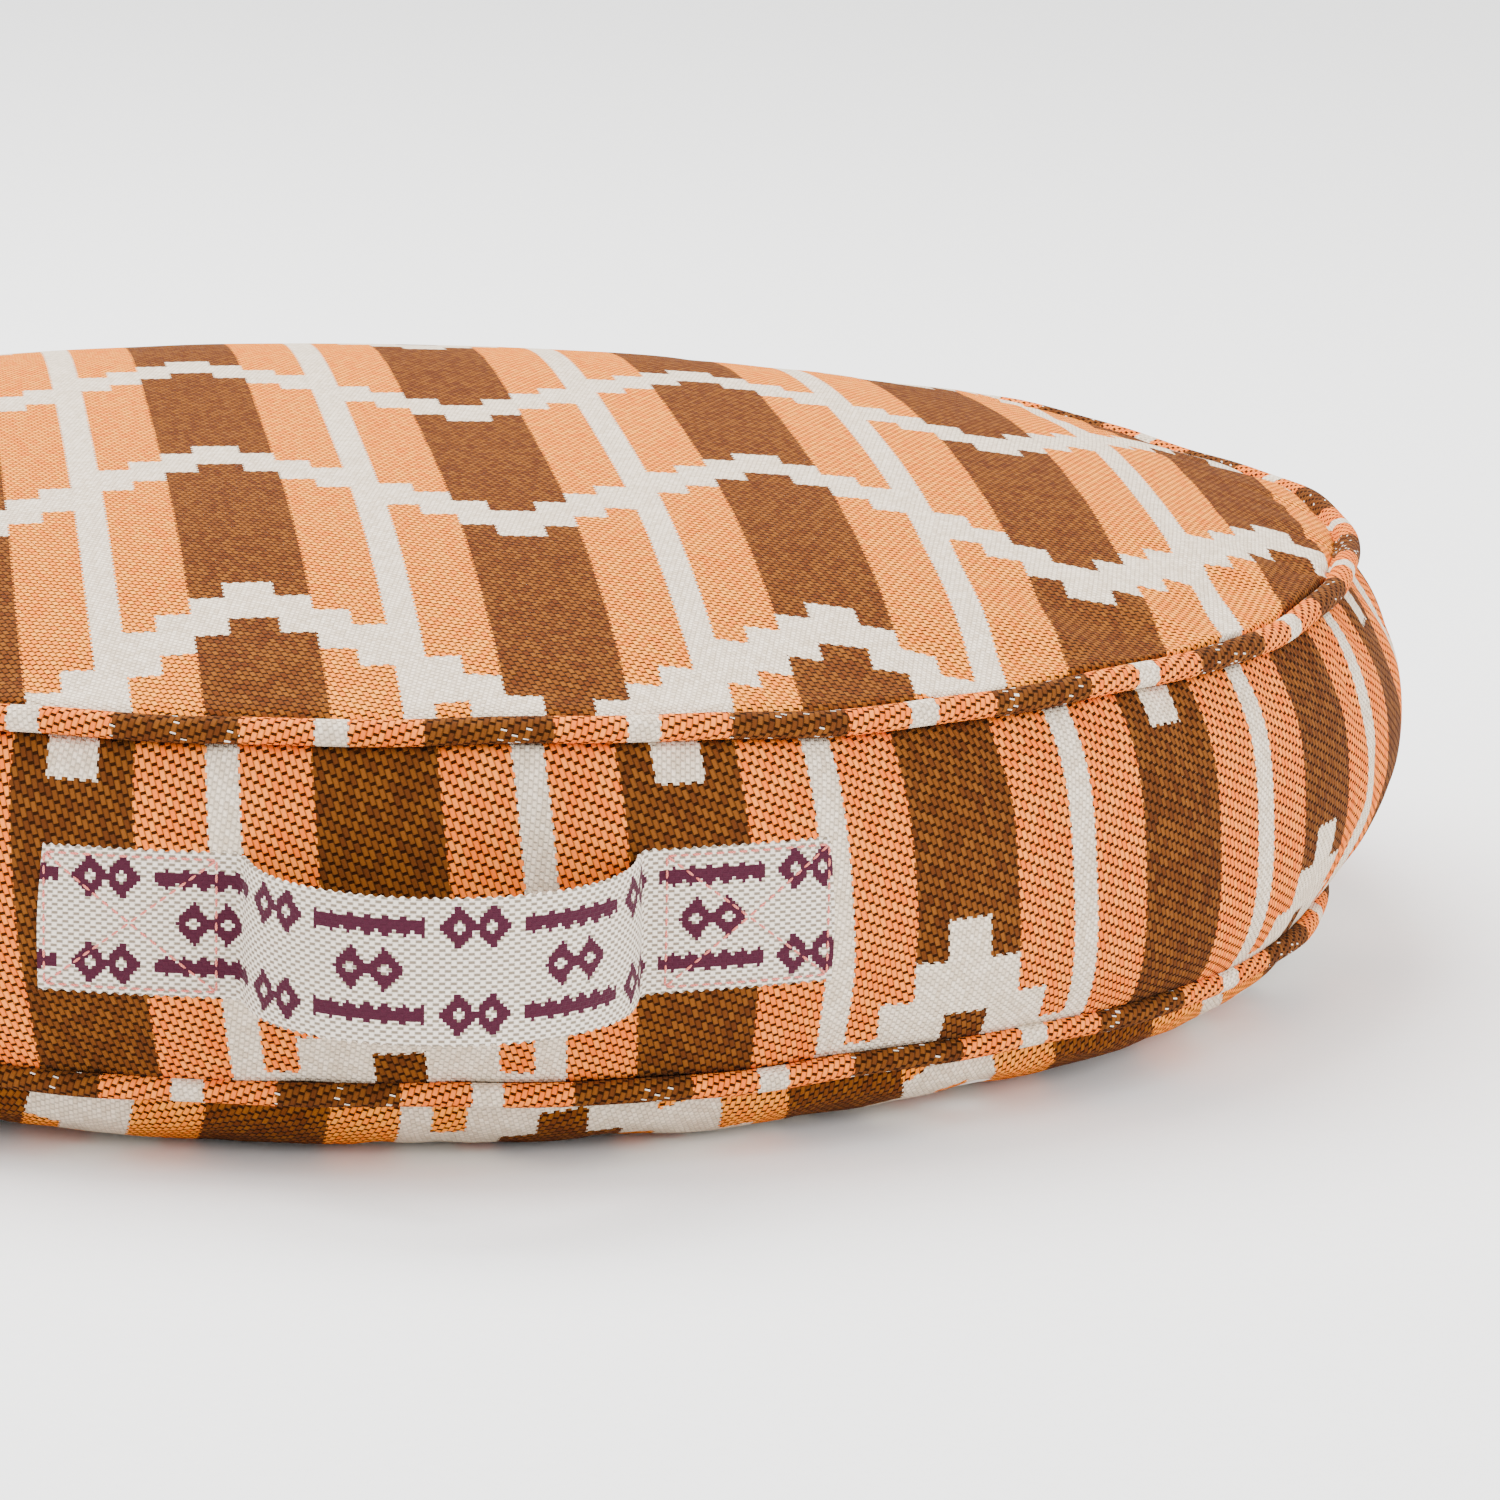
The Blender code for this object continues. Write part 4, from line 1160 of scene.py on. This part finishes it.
finish_piece(slider, cast_brass, ["zip_slider"], body="zip_slider", crease=35)

# %% Pull
PIVOT = 0.3057               # radius of the pull's cross bar
half = 0.0005                # half the tab's thickness
tab = soft_block("tab", (PIVOT - half, -0.0005, -0.0031), (PIVOT + half, 0.0240, 0.0031), 0.0003)
cut_away(tab, (PIVOT - 0.001, 0.0005, -0.0014), (PIVOT + 0.001, 0.0052, 0.0014))
for start, stop in ((0.0003, 0.001), (-0.001, -0.0003)):     # a shallow panel on each face
    cut_away(tab, (PIVOT + start, 0.0080, -0.0020), (PIVOT + stop, 0.0215, 0.0020))
pull = join_at_zip("zip_pull_tab", [tab])
finish_piece(pull, cast_brass, ["zip_pull"], body="zip_pull", crease=35)

# %% [markdown]
# ## Inner pad
#
# The pad is a calico bag full of polyester fibre. It fills the cover but stays a few millimetres
# clear of the seam allowances. Its three pieces of calico and the filling are turned shapes.

# %% Calico and filling
def turned_place(section):
    read, _ = section_reader(section)

    def place(u, v):
        angle = 2 * pi * u - pi
        radius, height, length = read(v)
        return around(radius, angle, height), np.stack([angle * 0.29, length], axis=1)
    return place


SHOULDER = 0.2765            # where the calico's top and bottom meet its border
EASE = 0.0026                # between the calico's middle line and the cover
FIBRE_ROOM = 0.0014          # between the calico and the fibre
inwards = np.linspace(0.0, 1.0, 22)[::-1] ** 0.7 * SHOULDER
upper = [(r, float(top_height(r)) - EASE) for r in inwards][::-1]
lower = [(r, max(float(bottom_height(r)) + EASE, 0.0018)) for r in inwards][::-1]
flank_half = [(0.2830, 0.1085), (0.2895, 0.1010), (0.2935, 0.0900), (0.2952, 0.0780)]
flank = [upper[-1], *flank_half, (0.2957, BORDER_MID),
         *[(r, 2 * BORDER_MID - z) for r, z in reversed(flank_half)], lower[-1]]
for name, section, node in (("liner_top_calico", upper, "liner_top"),
                            ("liner_border_calico", flank, "liner_border"),
                            ("liner_bottom_calico", lower[::-1], "liner_bottom")):
    liner = sheet_grid(name, 160, len(section) - 1, turned_place(section))
    close_up(liner, outward=False)
    thicken(liner, 0.0006)
    finish_piece(liner, liner_cotton, [node])

outline = [*upper, *flank[1:-1], *lower[::-1]]
smaller = [(max(r - FIBRE_ROOM, 0), z + (FIBRE_ROOM if z < BORDER_MID else -FIBRE_ROOM))
           for r, z in outline]
filling = sheet_grid("fibre_filling", 160, len(smaller) - 1, turned_place(smaller))
close_up(filling)
finish_piece(filling, filling_fibre, ["fibre_fill"])

# %% [markdown]
# ## What the soft pieces are
#
# Each cloth was cut, before it was sewn, to its seam lines plus an allowance: 12 mm on the cover,
# 8 mm at the zip and 10 mm on the liner. The filling is padded, and nearly tight.


# %% [markdown]
# ## Floor, light and camera
#
# A pale floor, a bright even surround and two broad soft lights: one above and behind, which
# makes the top the brightest part, and one in front that opens the shadows.

# %% Floor
def floor_finish():
    material, tree, shader = new_finish("painted_floor_matt")
    where = add(tree, "ShaderNodeTexCoord").outputs["Object"]
    mottle = add(tree, NOISE, where, None, 6.0, 2.0, noise_dimensions="3D")
    colour = add(tree, MIX, mottle, linear("F6F6F5"), linear("FBFBFA"), data_type="RGBA")
    dress(shader, {"Base Color": colour, "Roughness": 0.9})
    return material


bpy.ops.object.select_all(action="DESELECT")
bpy.ops.mesh.primitive_plane_add(size=14, location=(0, 0, -0.0005))
floor = bpy.context.object
floor.name = "floor"
floor.data.materials.append(floor_finish())

# %% Light
def soft_light(name, place, target, size, power):
    bpy.ops.object.light_add(type="AREA", location=place)
    light = bpy.context.object
    light.name = name
    light.data.shape = "DISK"
    light.data.size = size
    light.data.energy = power
    light.rotation_euler = (Vector(target) - Vector(place)).to_track_quat("-Z", "Y").to_euler()
    return light


soft_light("overhead", (-0.5, 0.5, 1.9), (0, 0, 0.08), 1.8, 95)
soft_light("front", (1.9, -1.7, 1.0), (0.1, -0.1, 0.07), 1.4, 34)
world = bpy.data.worlds.new("studio")
bpy.context.scene.world = world
world.use_nodes = True
sky = world.node_tree.nodes["Background"]
sky.inputs[0].default_value = (1, 1, 1, 1)
sky.inputs[1].default_value = 2.05

# %% Camera
bpy.ops.object.camera_add(location=(-0.1414, -2.0532, 0.4961),
                          rotation=(radians(77.749), radians(-1.071), radians(-6.899)))
camera = bpy.context.object
camera.name = "camera"
camera.data.sensor_width = 36
camera.data.lens = 170.77
bpy.context.scene.camera = camera
